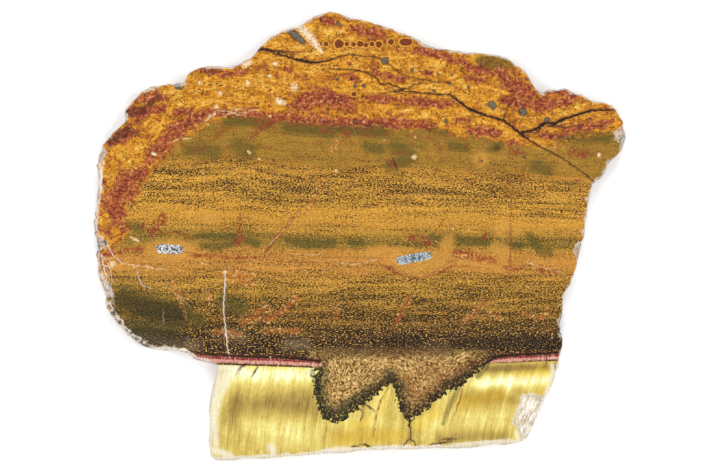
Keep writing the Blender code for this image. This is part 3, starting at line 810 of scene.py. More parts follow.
def layeredStone():
    tree = bpy.data.node_groups.new("layeredStone", "ShaderNodeTree")
    for name, kind in (("Colour", "Color"), ("Silk", "Float"), ("Threads", "Float"),
                       ("Roughness", "Float"), ("Height", "Float")):
        tree.interface.new_socket(name, in_out="OUTPUT", socket_type="NodeSocket" + kind)
    add = functools.partial(addNode, tree)
    marks = {}
    for name in ("zones", "fibres", "lobes", *lineGroups, *patchGroups):
        stored = add("Attribute", attribute_name=name).node.outputs["Vector"]
        marks[name] = add("SeparateXYZ", stored).node.outputs
    row, breccia, seam = marks["zones"]
    across, down, paintedSheenLevel = marks["fibres"]
    inLobe, warm, rim = marks["lobes"]

    def paint(ground, *coats):
        # colours laid one over another, each where all of its masks say
        for colour, *masks in coats:
            cover = masks[0]
            for mask in masks[1:]:
                cover = add("Math", cover, mask, **times)
            ground = add("Mix", cover, ground, colour, data_type="RGBA")
        return ground

    # places in mm: on the stone, and along its layers
    place = add("VectorMath", add("TexCoord").node.outputs["Object"], 1 / mm, operation="SCALE")
    x, y, z = add("SeparateXYZ", place).node.outputs
    rowMm = add("Math", row, photoView["mmPerPixel"], **times)
    alongLayers = add("CombineXYZ", x, rowMm, add("Math", z, 0.3, **times))

    # unevenness shared by all of the stone, from 5 mm lace down to half a millimetre
    lace = add("TexNoise", place, 0.62, 5.0, 0.62, 2.0, 0.5)
    ground = add("TexNoise", place, 0.9, 5.0, 0.7)
    fleck = add("TexNoise", place, 1.5, 2.0, 0.55)
    grit = add("TexNoise", place, 1.9, 3.0, 0.70)

    # level layers
    wander = add("TexNoise", add("VectorMath", place, (0.045, 0.10, 0.05), **times), 1.0, 3.0)
    flicker = add("TexNoise", add("VectorMath", place, (0.5, 1.1, 0.3), **times), 1.0, 3.0)
    bentRow = add("Math", wander, 8.0, add("Math", flicker, 4.8, row, **timesPlus), **timesPlus)
    rowPlace = add("MapRange", bentRow, 116.4, 371.4)
    layers = add("ValToRGB", rowPlace, stops=[(spread(r), c) for r, c in layerColours])
    amount = add("ValToRGB", rowPlace, stops=[(spread(r), a) for r, a in speckAmounts])
    streaks = add("TexNoise", add("VectorMath", alongLayers, (0.035, 1.3, 0.2), **times), 1.0, 4.0, 0.6)
    cloud = add("TexNoise", add("VectorMath", alongLayers, (0.10, 0.24, 0.2), **times), 1.0, 4.0, 0.55)
    laminae = add("TexNoise", add("VectorMath", alongLayers, (0.07, 2.6, 0.2), **times), 1.0, 3.0, 0.6)
    value = add("Math", streaks, 0.62, add("Math", cloud, 0.52, 0.27, **timesPlus), **timesPlus)
    value = add("Math", laminae, 0.34, value, **timesPlus)
    layers = add("HueSaturation", 0.5, 1.0, value, 1.0, layers)

    # grains of dark iron oxide, 0.3 to 0.6 mm long, in level rows
    specks = add("TexNoise", add("VectorMath", alongLayers, (1.80, 3.0, 0.9), **times), 1.0, 2.0, 0.8)
    crowd = add("TexNoise", add("VectorMath", alongLayers, (0.07, 0.8, 0.2), **times), 1.0, 2.0)
    crowding = add("Math", amount, 0.27, add("Math", crowd, 0.34, -0.33, **timesPlus), **timesPlus)
    speckMask = add("MapRange", add("Math", specks, crowding, **plus), 0.512, 0.530, **soft)
    goldPlace = add("VectorMath", alongLayers, (1.8, 2.9, 0.9), (31.0, 7.0, 0.0), **timesPlus)
    goldMask = add("MapRange", add("TexNoise", goldPlace, 1.0, 1.0), 0.59, 0.66, **soft)
    layers = paint(
        layers,
        ("#1C1003", speckMask, 0.95),
        ("#E8B45C", goldMask, add("MapRange", row, 166.0, 178.0, **soft), 0.66),
        ("#E2AE5C", goldMask, add("MapRange", row, 322.0, 334.0, **soft), 0.72))

    # breccia: broken and healed yellow and red jasper, its flow lines round the layered stone
    flowPlace = add("CombineXYZ", add("Math", x, 0.16, **times), add("Math", y, 0.30, **times),
                    add("Math", breccia, 0.075, **times))
    body = add("TexNoise", flowPlace, 1.0, 6.0, 0.62, 2.0, 0.9)
    flow = add("TexNoise", add("VectorMath", flowPlace, (1.3, 1.8, 1.8), **times), 1.0, 5.0, 0.60, 2.0, 0.8)
    blotch = add("TexNoise", place, 0.95, 4.0, 0.7)
    red, yellow, green = marks["tintFirst"]
    iron = -1.165
    for source, weight in ((red, 0.38), (yellow, -0.12), (body, 0.55), (lace, 0.90), (ground, 0.95),
                           (grit, 0.40)):
        iron = add("Math", source, weight, iron, **timesPlus)
    brick = add("ValToRGB", add("Math", iron, -0.35, add("Math", blotch, 0.22, **plus), **timesPlus),
                stops=jasperColours["red"])
    shade = add("Math", iron, -0.35, add("Math", yellow, 0.05, flow, **timesPlus), **timesPlus)
    shade = add("Math", shade, 0.08, **plus)
    broken = add("ValToRGB", shade, stops=jasperColours["yellow"])
    for line, level, width, colour, strength in (
            (body, 0.455, 0.012, "#6A3412", 0.85), (body, 0.56, 0.009, "#7E3E1C", 0.80),
            (lace, 0.57, 0.010, "#884A24", 0.70), (flow, 0.43, 0.010, "#5E3012", 0.75)):
        away = add("Math", add("Math", line, -level, **plus), **absolute)
        away = add("Math", grit, 0.02, add("Math", away, -0.009, **plus), **timesPlus)
        broken = paint(broken, (colour, add("MapRange", away, width * 0.4, width * 1.6, 1.0, 0.0, **soft),
                                strength))
    edge = add("Math", add("Math", iron, -0.392, **plus), **absolute)
    broken = paint(
        broken,
        ("#3E210E", add("MapRange", fleck, 0.620, 0.655, **soft), 0.85),
        ("#F4C870", add("MapRange", fleck, 0.350, 0.320, **soft), 0.50),
        (brick, add("MapRange", iron, 0.392, 0.412, **soft)),
        ("#421C12", add("MapRange", edge, 0.008, 0.024, 1.0, 0.0, **soft), 0.75),
        ("#4E1E18", add("MapRange", fleck, 0.560, 0.595, **soft),
         add("MapRange", iron, 0.40, 0.43, **soft), 0.65),
        ("#E8BE90", add("MapRange", fleck, 0.360, 0.325, **soft),
         add("MapRange", iron, 0.40, 0.44, **soft), 0.66))

    ragged = add("Math", lace, 22.0, add("Math", breccia, -11.0, **plus), **timesPlus)
    outside = add("MapRange", breccia, -1.5, 1.5, 1.0, 0.0, **soft)
    # the breccia over the layers, then a painted grey sheen where the third tint's light patches lie
    stone = paint(
        layers,
        (broken, add("MapRange", ragged, -1.0, 1.2, **soft)),
        ("#A08C6C", marks["tintThird"][1], 0.30))

    # listed stains: soft green bands, and iron red and orange that follow the grain
    laced = add("MapRange", add("Math", lace, fleck, **plus), 0.94, 1.02, **soft)
    for stain, colour, low, high, grain, broke, strength, where, holes in (
            (green, "#46461A", 0.05, 0.95, laminae, 1.8, 0.64, 1.0, 1.0),
            (red, "#8A3828", 0.30, 0.44, ground, 2.80, 0.82, outside, laced),
            (yellow, "#CB9444", 0.15, 0.90, ground, 1.20, 0.70, outside, 1.0),
            (marks["tintSecond"][2], "#B0602A", 0.45, 0.66, ground, 2.80, 0.55, 1.0, laced)):
        uneven = add("Math", add("Math", grain, -0.5, **plus), broke, **times)
        uneven = add("Math", uneven, add("MapRange", stain, 0.0, 0.3, **soft), **times)
        patch = add("Math", stain, uneven, **plus)
        stone = paint(stone, (colour, add("MapRange", patch, low, high, **soft), strength, where, holes))
    stone = paint(stone, ("#E4B878", add("MapRange", fleck, 0.43, 0.38, **soft),
                          add("MapRange", patch, 0.25, 0.50, **soft), 0.70))
    rustRows = add("Math", add("Math", row, -140.0, **plus), **absolute)
    rustRows = add("MapRange", rustRows, 12.0, 28.0, 1.0, 0.0, **soft)
    rusty = add("TexNoise", add("VectorMath", place, (0.30, 0.42, 0.3), **times), 1.0, 6.0, 0.72, 2.0, 0.6)
    stone = paint(stone, ("#8A4626", add("MapRange", rusty, 0.545, 0.59, **soft), rustRows, outside, 0.55))

    # tongues of stone in the fibres, their grains in arcs along a bitten edge
    bite = add("TexNoise", place, 0.85, 2.0, 0.6)
    bite = add("Math", add("Math", bite, -0.5, **plus), 17.0, **times)
    bitten = add("Math", bite, inLobe, seam, **timesPlus)
    arcPlace = add("CombineXYZ", add("Math", x, 0.86, **times), add("Math", y, 0.92, **times),
                   add("Math", seam, -0.86, **times))
    arcs = add("TexNoise", arcPlace, 1.0, 3.0, 0.75)
    tone = add("MapRange", arcs, 0.37, 0.63, 0.02, 1.10)
    tone = add("Math", tone, add("MapRange", seam, -12.0, 0.0, 0.0, -0.22, **soft), **plus)
    margin = add("MapRange", bitten, -17.0, -5.0, **soft)
    crumbs = add("TexNoise", place, 1.45, 2.0, 0.65)
    greening = add("MapRange", warm, 0.0, 1.0, 0.80, 0.45)
    tongue = paint(
        add("ValToRGB", tone, stops=lobeColours),
        ("#8E5226", add("MapRange", add("TexNoise", place, 0.16, 3.0), 0.42, 0.60, **soft), 0.45, warm),
        ("#2C1A0C", add("MapRange", fleck, 0.585, 0.615, **soft), 0.75),
        ("#E8C884", add("MapRange", fleck, 0.385, 0.350, **soft), 0.60),
        ("#6E321C", add("MapRange", bitten, -22.0, -9.0, **soft), warm, 0.50),
        ("#3E4424", margin, greening),
        ("#15120A", add("MapRange", crumbs, 0.50, 0.55, **soft), margin, 0.90),
        ("#D8B45E", add("MapRange", crumbs, 0.395, 0.360, **soft), margin, 0.85))
    stone = paint(stone, (tongue, inLobe))

    # golden fibres: painted sheen in bright and dark silk bands across them, and the threads themselves, 0.3
    # mm and finer
    threadPlace = add("CombineXYZ", add("Math", across, 0.95, **times), add("Math", down, 0.022, **times))
    broadPlace = add("CombineXYZ", add("Math", across, 0.16, **times),
                     add("Math", down, 0.012, **times), 3.0)
    darkPlace = add("CombineXYZ", add("Math", across, 0.80, **times), add("Math", down, 0.05, **times), 9.0)
    threads = add("TexNoise", threadPlace, 1.0, 3.0, 0.75)
    broad = add("TexNoise", broadPlace, 1.0, 3.0, 0.6)
    ripple = add("TexNoise", place, 0.35, 3.0, 0.6)
    # painted sheen: the bands' brightness, roughened by the threads' own grain
    sheen = add("Math", paintedSheenLevel, -1.19, **plus)
    for source, weight in ((threads, 1.00), (broad, 0.78), (ripple, 0.50)):
        sheen = add("Math", source, weight, sheen, **timesPlus)
    creamWearAndSheen, gold, shadeAndOliveVein = marks["tintFourth"]
    # cream: pale wear along the foot and the broken corner, and a painted whitish sheen on the fibres' left
    # margin
    worn = add("Math", add("Math", threads, -0.5, **plus), 1.1, creamWearAndSheen, **timesPlus)
    silkAndPaintedSheen = paint(
        add("ValToRGB", sheen, stops=fibreAndSheenColours),
        ("#7C5A26", add("MapRange", add("TexNoise", darkPlace, 1.0, 2.0, 0.6), 0.62, 0.69, **soft), 0.60),
        ("#F2ECD6", add("MapRange", worn, 0.15, 1.05, **soft), 0.72),
        ("#EBC02E", gold, 0.38))
    inSilk = add("MapRange", bitten, -0.4, 0.6, **soft)
    # umber: painted shade along the tops and sides of the tongues, together with a real olive-brown vein in
    # the fibres
    shadeAndOliveVeinMask = add("Math", add("Math", ground, -0.5, **plus), 0.9, shadeAndOliveVein, **timesPlus)
    toothed = add("Math", add("Math", bitten, 1.5, **plus), **absolute)
    stone = paint(
        stone,
        (silkAndPaintedSheen, inSilk),
        ("#4A3014", add("MapRange", shadeAndOliveVeinMask, 0.2, 0.9, **soft), 0.55),
        ("#1C150B", add("MapRange", toothed, 0.9, 1.7, 1.0, 0.0, **soft), inLobe, 0.92))

    # veins and cracks
    shake = add("MapRange", add("TexNoise", place, 0.9, 3.0, 0.6), 0.2, 0.8, -1.2, 1.2)
    gaps = {"brownVeins": add("MapRange", lace, 0.42, 0.52, **soft),
            "paleVeins": add("MapRange", lace, 0.58, 0.50, **soft)}
    nap = add("TexNoise", add("VectorMath", place, (2.4, 0.4, 1.0), **times), 1.0, 2.0)
    for name, colour, halo, haloStrength, strength, thickness in (
            ("pinkStrip", "#D69A88", "#A8704A", 0.25, 0.95, 1.0),
            ("brownVeins", "#7A3620", "#9A5028", 0.35, 0.75, 0.5),
            ("paleVeins", "#EBD3A8", "#B8823E", 0.25, 0.85, 0.4),
            ("whiteVeins", "#E8DCD6", "#9A7A5A", 0.30, 0.88, 0.4),
            ("darkCracks", "#1C100A", "#6E3420", 0.45, 0.97, 0.66)):
        signed, half, gap = marks[name]
        away = add("Math", add("Math", signed, shake, **plus), **absolute)
        away = add("Math", half, -thickness, away, **timesPlus)
        there = add("MapRange", half, -0.5, 0.0, **soft)
        faint = add("MapRange", half, 0.2, 1.1, 0.45, 1.0)
        line = add("MapRange", away, -0.45, 0.55, 1.0, 0.0, **soft)
        if name == "pinkStrip":
            upper = add("Math", shake, 0.5, signed, **timesPlus)
            upper = add("MapRange", upper, -0.9, -0.2, 1.0, 0.0, **soft)
            colour = add("Mix", upper, colour, "#8C2426", data_type="RGBA")
            colour = paint(colour, ("#EEC6B8", add("MapRange", nap, 0.50, 0.68, **soft), 0.6),
                           ("#7C3A34", add("MapRange", nap, 0.48, 0.34, **soft), 0.6))
            faint = 1.0
        stone = paint(stone,
                      (halo, add("MapRange", away, 0.2, 1.6, 1.0, 0.0, **soft), there, faint, haloStrength),
                      (colour, line, there, faint, strength, gaps.get(name, 1.0)))
    crack = add("Math", line, there, **times)

    # spots: ringed eyes of red jasper, pale and grey quartz, soot-dark cores
    uneven = add("MapRange", grit, 0.25, 0.75, 0.50, 1.50)
    for spot, colour, low, high, strength in (
            (marks["tintThird"][2], "#7A3A1C", 0.06, 0.12, 0.45),
            (marks["tintThird"][2], "#E8A840", 0.16, 0.24, 0.85),
            (marks["tintThird"][2], "#64221A", 0.36, 0.48, 0.92),
            (marks["tintSecond"][0], "#E2BC80", 0.36, 0.60, 0.65),
            (marks["tintSecond"][0], "#F0E0CC", 0.74, 0.90, 0.66),
            (marks["tintSecond"][1], "#3E342E", 0.34, 0.46, 0.80),
            (marks["tintSecond"][1], "#68665A", 0.60, 0.80, 0.85),
            (marks["tintThird"][0], "#1E160E", 0.30, 0.85, 0.55)):
        patch = add("Math", spot, uneven, **times)
        stone = paint(stone, (colour, add("MapRange", patch, low, high, **soft), strength))

    # the rim is knocked pale here and there, and the polish ends in a ground arris along the fibres
    knocks = add("TexNoise", place, 0.45, 4.0, 0.7)
    knocked = add("Math", knocks, -17.0, rim, **timesPlus)
    fringe = add("Math", knocks, -9.0, add("Math", rim, 4.5, **plus), **timesPlus)
    stone = paint(
        stone,
        ("#D2C8B6", add("MapRange", knocked, -9.3, -7.8, 1.0, 0.0, **soft), 0.75),
        ("#E4DCCC", add("MapRange", fringe, 0.2, 1.6, 1.0, 0.0, **soft), inSilk, 0.75))

    # the grain of the quartz itself, finer than a pixel in life and drawn at 0.4 mm
    sparkle = add("MapRange", grit, 0.3, 0.7, -0.28, 0.28)
    calm = add("MapRange", inSilk, 0.0, 1.0, 1.0, 0.3)
    value = add("Math", sparkle, calm, 0.86, **timesPlus)
    stone = add("HueSaturation", 0.5, 1.02, value, 1.0, stone)
    rough = add("MapRange", inSilk, 0.0, 1.0, 0.13, 0.22)
    add("NodeGroupOutput", stone, inSilk, threads, rough, add("Math", crack, -1.0, **times))
    return tree


stoneTree = layeredStone()


def newMaterial(name):
    # an empty material, with a way to add its nodes and its Object coordinates in mm
    material = bpy.data.materials.new(name)
    material.use_nodes = True
    material.node_tree.nodes.clear()
    add = functools.partial(addNode, material.node_tree)
    place = add("VectorMath", add("TexCoord").node.outputs["Object"], 1 / mm, operation="SCALE")
    return material, add, place


def polishedTigerEye():
    # tiger eye, quartz grown over crocidolite: sawn and polished, glassy, with the silk's sheen painted into
    # the colour below the gloss
    material, add, place = newMaterial("polishedTigerEye")
    stone = add("Group", node_tree=stoneTree).node.outputs
    bump = add("Bump", named={"Height": stone["Height"], "Strength": 0.2, "Distance": 0.1 * mm})
    shader = add("BsdfPrincipled", named={"Base Color": stone["Colour"], "Roughness": stone["Roughness"],
                                          "IOR": 1.544, "Normal": bump})
    add("OutputMaterial", shader)
    return material


def weatheredRind():
    # the stone's old broken outside: dull, dusty brown with pale bruises where it was knocked
    material, add, place = newMaterial("weatheredRind")
    stone = add("Group", node_tree=stoneTree).node.outputs
    pale = add("SeparateXYZ", add("Attribute", attribute_name="tintSecond").node.outputs["Vector"])
    dust = add("TexNoise", place, 0.28, 5.0, 0.65)
    bruise = add("TexNoise", place, 0.75, 4.0, 0.65)
    grit = add("TexNoise", place, 3.0, 3.0, 0.65)
    facing = add("SeparateXYZ", add("NewGeometry").node.outputs["Normal"]).node.outputs["Z"]
    facesUp = add("MapRange", facing, 0.12, 0.42, **soft)    # fresh, bruised chips round the polished face
    old = add("Math", 1.0, facesUp, operation="SUBTRACT")
    colour = add("HueSaturation", 0.5, add("MapRange", old, 0.0, 1.0, 0.90, 0.78),
                 add("MapRange", old, 0.0, 1.0, 1.05, 0.72), 1.0, stone["Colour"])
    for source, low, high, tint, strength, where in (
            (dust, 0.42, 0.62, "#8C765C", 0.50, old), (dust, 0.44, 0.34, "#4A3624", 0.55, old),
            (bruise, 0.58, 0.68, "#D2C8B8", 0.65, 1.0), (grit, 0.56, 0.68, "#2E2218", 0.60, old),
            (bruise, 0.40, 0.56, "#D6CEC2", 0.72, facesUp),
            (pale, 0.25, 0.60, "#E2DCD0", 0.80, add("MapRange", bruise, 0.36, 0.52, **soft))):
        mask = add("MapRange", source, low, high, 0.0, strength, **soft)
        colour = add("Mix", add("Math", mask, where, **times), colour, tint, data_type="RGBA")
    # where it breaks across the fibres it is pale and splintery
    splinter = add("ValToRGB", stone["Threads"],
                   stops=[(0.28, "#7E6848"), (0.42, "#BFAE8C"), (0.55, "#E6DCC8"), (0.75, "#F8F2E6")])
    splintered = add("Mix", 0.72, colour, splinter, data_type="RGBA")
    colour = add("Mix", stone["Silk"], colour, splintered, data_type="RGBA")
    rough = add("MapRange", bruise, 0.3, 0.7, 0.62, 0.86)
    bump = add("Bump", named={"Height": add("Math", grit, bruise, **plus), "Strength": 0.55,
                              "Distance": 0.18 * mm})
    shader = add("BsdfPrincipled", named={"Base Color": colour, "Roughness": rough, "IOR": 1.544,
                                          "Normal": bump})
    add("OutputMaterial", shader)
    return material


def sawnBack():
    # diamond sawn and left unpolished: pale and matt, with the blade's shallow arcs
    material, add, place = newMaterial("sawnBack")
    bladeRadius = 178.0    # mm, a 14 inch blade
    stone = add("Group", node_tree=stoneTree).node.outputs
    fromAxle = add("VectorMath", place, (35.0, -bladeRadius * 0.9, 0.0), operation="SUBTRACT")
    reach = add("VectorMath", fromAxle, operation="LENGTH")
    grooves = add("TexNoise", reach, 0.9, 4.0, 0.7, noise_dimensions="1D")
    smear = add("TexNoise", place, 0.05, 4.0)
    colour = add("HueSaturation", 0.5, 0.66, 0.92, 1.0, stone["Colour"])
    for source, low, high, tint, strength in (
            (smear, 0.35, 0.65, "#A8967C", 0.45), (grooves, 0.52, 0.70, "#C4B8A4", 0.30),
            (grooves, 0.46, 0.30, "#5A4630", 0.25)):
        mask = add("MapRange", source, low, high, 0.0, strength, **soft)
        colour = add("Mix", mask, colour, tint, data_type="RGBA")
    bump = add("Bump", named={"Height": grooves, "Strength": 0.4, "Distance": 0.05 * mm})
    shader = add("BsdfPrincipled", named={"Base Color": colour, "Roughness": 0.7, "IOR": 1.544,
                                          "Normal": bump})
    add("OutputMaterial", shader)
    return material


for finish in (weatheredRind(), polishedTigerEye(), sawnBack()):
    slabData.materials.append(finish)
print("stone finishes made:", ", ".join(m.name for m in slabData.materials))

bakeLayout = {  # (left, bottom, width, height) of each finish on the bake's square map
    "wall": (0.668, 0.002, 0.330, 0.330),
    "polished": (0.002, 0.338, 0.996, 0.660),
    "back": (0.002, 0.002, 0.660, 0.330),
}


def layOutBake(piece):
    # a UV map for the bake, which gives the polished face the most room
    mesh = piece.data
    layer = mesh.uv_layers.new(name="OFBake")
    finishes = np.empty(len(mesh.polygons), int)
    mesh.polygons.foreach_get("material_index", finishes)
    finishes = np.repeat(finishes, 3)
    corners = np.empty(len(mesh.loops), int)
    mesh.loops.foreach_get("vertex_index", corners)
    places = slabPoints[corners, :2]
    bpy.context.view_layer.objects.active = piece
    bpy.context.tool_settings.mesh_select_mode = (False, False, True)
    mesh.polygons.foreach_set("select", finishes[::3] == 0)
    bpy.ops.object.mode_set(mode="EDIT")
    bpy.ops.uv.smart_project(angle_limit=1.5, island_margin=0.0, scale_to_bounds=True)
    bpy.ops.object.mode_set(mode="OBJECT")
    spots = np.empty(len(mesh.loops) * 2)
    mesh.uv_layers["OFBake"].data.foreach_get("uv", spots)
    spots = spots.reshape(-1, 2)
    for number, (left, bottom, width, height) in enumerate(bakeLayout.values()):
        worn = finishes == number
        flat = spots[worn] if number == 0 else places[worn] * (1, -1 if number == 2 else 1)
        low, high = flat.min(axis=0), flat.max(axis=0)
        spots[worn] = (flat - low) / (high - low) * (width, height) + (left, bottom)
    mesh.uv_layers["OFBake"].data.foreach_set("uv", spots.ravel())
    print("bake map laid out:", len(mesh.polygons), "faces")


layOutBake(slab)


# Crystals in the two hollows

druse = {
    # each hollow's dark colour is painted shade for the gaps between its crystals
    "left": {"seed": 3, "clear": "#FDFCFA", "cloudy": "#DDE0E6", "dark": "#27304A", "gaps": (0.53, 0.57)},
    "right": {"seed": 8, "clear": "#DCE5E9", "cloudy": "#A2B2BA", "dark": "#12161C", "gaps": (0.59, 0.65)},
    "depth": 1.7,            # mm below the polished face, in the middle of a hollow
    "edgeDepth": 0.55,
    "fit": 0.95,             # of the hollow's mouth
    "bedThickness": 0.25,
    "rings": 9,
    "sides": 36,
    "crystalWidth": 0.52,    # mm across
    "crystalLength": 0.95,
    "spacing": 0.36,
}


def druseBed(side):
    # a thin closed bowl that the crystals stand on
    rng = np.random.default_rng(druse[side]["seed"])
    top = cadBox[1][2] / mm
    mouth = pitMouths[side][:, :2]
    centre = mouth.mean(axis=0)
    bearings = np.arctan2(*(mouth - centre).T[::-1])
    order = np.argsort(bearings)
    reach = np.hypot(*(mouth - centre).T)[order]
    builder = bmesh.new()
    shells = []
    for drop in (0.0, druse["bedThickness"]):
        middle = builder.verts.new((centre[0] * mm, centre[1] * mm, (top - druse["depth"] - drop) * mm))
        rings = []
        for ring in range(1, druse["rings"] + 1):
            share = ring / druse["rings"]
            points = []
            for corner in range(druse["sides"]):
                turn = 2 * math.pi * corner / druse["sides"] - math.pi
                far = np.interp(turn, bearings[order], reach, period=2 * math.pi) * druse["fit"] * share
                sink = (druse["depth"] - druse["edgeDepth"]) * (1 - share ** 3) + druse["edgeDepth"]
                sink += drop * (1 - 0.5 * share) + rng.uniform(-0.05, 0.05) * (share < 1)
                points.append(builder.verts.new(((centre[0] + far * math.cos(turn)) * mm,
                                                 (centre[1] + far * math.sin(turn)) * mm,
                                                 (top - sink) * mm)))
            rings.append(points)
        shells.append((middle, rings))
    for number, (middle, rings) in enumerate(shells):
        count = druse["sides"]
        faces = [(middle, rings[0][i], rings[0][(i + 1) % count]) for i in range(count)]
        for inner, outer in zip(rings, rings[1:]):
            faces += [(inner[i], outer[i], outer[(i + 1) % count], inner[(i + 1) % count])
                      for i in range(count)]
        for face in faces:
            builder.faces.new(face if number == 0 else face[::-1])
    upper, lower = shells[0][1][-1], shells[1][1][-1]
    for i in range(druse["sides"]):
        j = (i + 1) % druse["sides"]
        builder.faces.new((upper[i], lower[i], lower[j], upper[j]))
    mesh = bpy.data.meshes.new("druseBed" + side)
    builder.to_mesh(mesh)
    builder.free()
    return mesh


def druseTree():
    # six-sided pointed quartz crystals, crowded over the upper side of a bed
    tree = bpy.data.node_groups.new("druseCrystals", "GeometryNodeTree")
    for name, kind in (("Bed", "Geometry"), ("Crystal width", "Float"), ("Crystal length", "Float"),
                       ("Spacing", "Float"), ("Seed", "Int"), ("Quartz", "Material")):
        tree.interface.new_socket(name, in_out="INPUT", socket_type="NodeSocket" + kind)
    tree.interface.new_socket("Crust", in_out="OUTPUT", socket_type="NodeSocketGeometry")
    add = functools.partial(addNode, tree)
    bed, width, length, spacing, seed, quartz = add("NodeGroupInput").node.outputs[:6]
    radius = add("Math", width, 0.5, **times)
    shaft = add("Math", length, 0.62, **times)
    column = add("GeometryNodeMeshCylinder", named={"Vertices": 6, "Radius": radius, "Depth": shaft},
                 fill_type="NONE")
    column = add("GeometryNodeTransform", column,
                 named={"Translation": add("CombineXYZ", 0.0, 0.0, add("Math", shaft, 0.5, **times))})
    tip = add("GeometryNodeMeshCone", named={"Vertices": 6, "Radius Top": 0.0, "Radius Bottom": radius,
                                             "Depth": add("Math", length, 0.38, **times)}, fill_type="NONE")
    tip = add("GeometryNodeTransform", tip, named={"Translation": add("CombineXYZ", 0.0, 0.0, shaft)})
    crystal = add("GeometryNodeMergeByDistance", add("GeometryNodeJoinGeometry", [column, tip]),
                  named={"Distance": 0.005 * mm})
    facing = add("SeparateXYZ", add("GeometryNodeInputNormal")).node.outputs["Z"]
    upward = add("FunctionNodeCompare", facing, 0.2, operation="GREATER_THAN")
    points = add("GeometryNodeDistributePointsOnFaces", bed,
                 named={"Selection": upward, "Distance Min": spacing, "Density Max": 4.0e7, "Seed": seed},
                 distribute_method="POISSON")
    lean = add("FunctionNodeRandomValue", (-0.75, -0.75, 0.0), (0.75, 0.75, 6.28), named={"Seed": seed},
               data_type="FLOAT_VECTOR")
    size = add("FunctionNodeRandomValue", 0.55, 1.15, named={"Seed": seed}, data_type="FLOAT")
    grown = add("GeometryNodeInstanceOnPoints", points,
                named={"Instance": crystal, "Rotation": lean, "Scale": size})
    crust = add("GeometryNodeJoinGeometry", [add("GeometryNodeRealizeInstances", grown), bed])
    add("NodeGroupOutput", add("GeometryNodeSetMaterial", crust, named={"Material": quartz}))
    return tree


def druseQuartz(side):
    # drusy rock crystal: glass-clear points, milky at the root, with dark patches painted on as the shade of
    # the gaps between them
    spot = druse[side]
    material, add, place = newMaterial("druseQuartz" + side.capitalize())
    milk = add("TexNoise", place, 0.8, 3.0)
    gaps = add("TexNoise", place, 1.6, 2.0)
    colour = add("Mix", add("MapRange", milk, 0.45, 0.60, **soft), spot["clear"], spot["cloudy"],
                 data_type="RGBA")
    # dark patches painted on the crystals stand for the shade in the gaps between them
    colour = add("Mix", add("MapRange", gaps, *spot["gaps"], **soft), colour, spot["dark"], data_type="RGBA")
    shader = add("BsdfPrincipled", named={"Base Color": colour, "Roughness": 0.08, "IOR": 1.544,
                                          "Transmission Weight": 0.15})
    add("OutputMaterial", shader)
    return material


def growNodes(name, bed, tree, values):
    # a piece grown on its bed by a Geometry Nodes tree, kept as a plain mesh under the polished face
    piece = bpy.data.objects.new(name, bed)
    bpy.context.scene.collection.objects.link(piece)
    modifier = piece.modifiers.new("grown", "NODES")
    modifier.node_group = tree
    for item in tree.interface.items_tree:
        if item.in_out == "INPUT" and item.name in values:
            modifier[item.identifier] = values[item.name]
    bpy.context.view_layer.update()
    seen = piece.evaluated_get(bpy.context.evaluated_depsgraph_get())
    mesh = bpy.data.meshes.new_from_object(seen)
    piece.modifiers.clear()
    piece.data = mesh
    ceiling = cadBox[1][2] - 0.05 * mm
    points = np.empty(len(mesh.vertices) * 3, np.float32)
    mesh.vertices.foreach_get("co", points)
    points = points.reshape(-1, 3)
    points[:, 2] = np.minimum(points[:, 2], ceiling)
    mesh.vertices.foreach_set("co", points.ravel())
    mesh.update()
    print(name, len(mesh.polygons), "faces")
    return piece


crystalTree = druseTree()
pockets = {}
for side in ("left", "right"):
    pockets[side] = growNodes("pocketCrystals" + side.capitalize(), druseBed(side), crystalTree, {
        "Crystal width": druse["crystalWidth"] * mm, "Crystal length": druse["crystalLength"] * mm,
        "Spacing": druse["spacing"] * mm, "Seed": druse[side]["seed"], "Quartz": druseQuartz(side)})


# Splinters on the broken corner of the fibre seam

splinters = {
    "low": (48.0, -60.2),    # mm, the broken slope's corner of the face
    "high": (55.4, -49.0),
    "lean": 23.7,            # degrees, how far the fibres lean to the right there
    "length": 3.6,           # mm
    "width": 0.42,
    "spacing": 0.30,
    "seed": 4,
}


def splinterBed():
    # the slope's own triangles, where it faces up
    low, high = splinters["low"], splinters["high"]
    builder = bmesh.new()
    corners = {}
    for polygon in slabData.polygons:
        middle = polygon.center / mm
        if not (low[0] < middle.x < high[0] and low[1] < middle.y < high[1]):
            continue
        if polygon.material_index or polygon.normal.z < 0.35 or middle.z < 2.0:
            continue
        for number in polygon.vertices:
            if number not in corners:
                corners[number] = builder.verts.new(slabData.vertices[number].co)
        builder.faces.new([corners[number] for number in polygon.vertices])
    mesh = bpy.data.meshes.new("splinterBed")
    builder.to_mesh(mesh)
    builder.free()
    return mesh


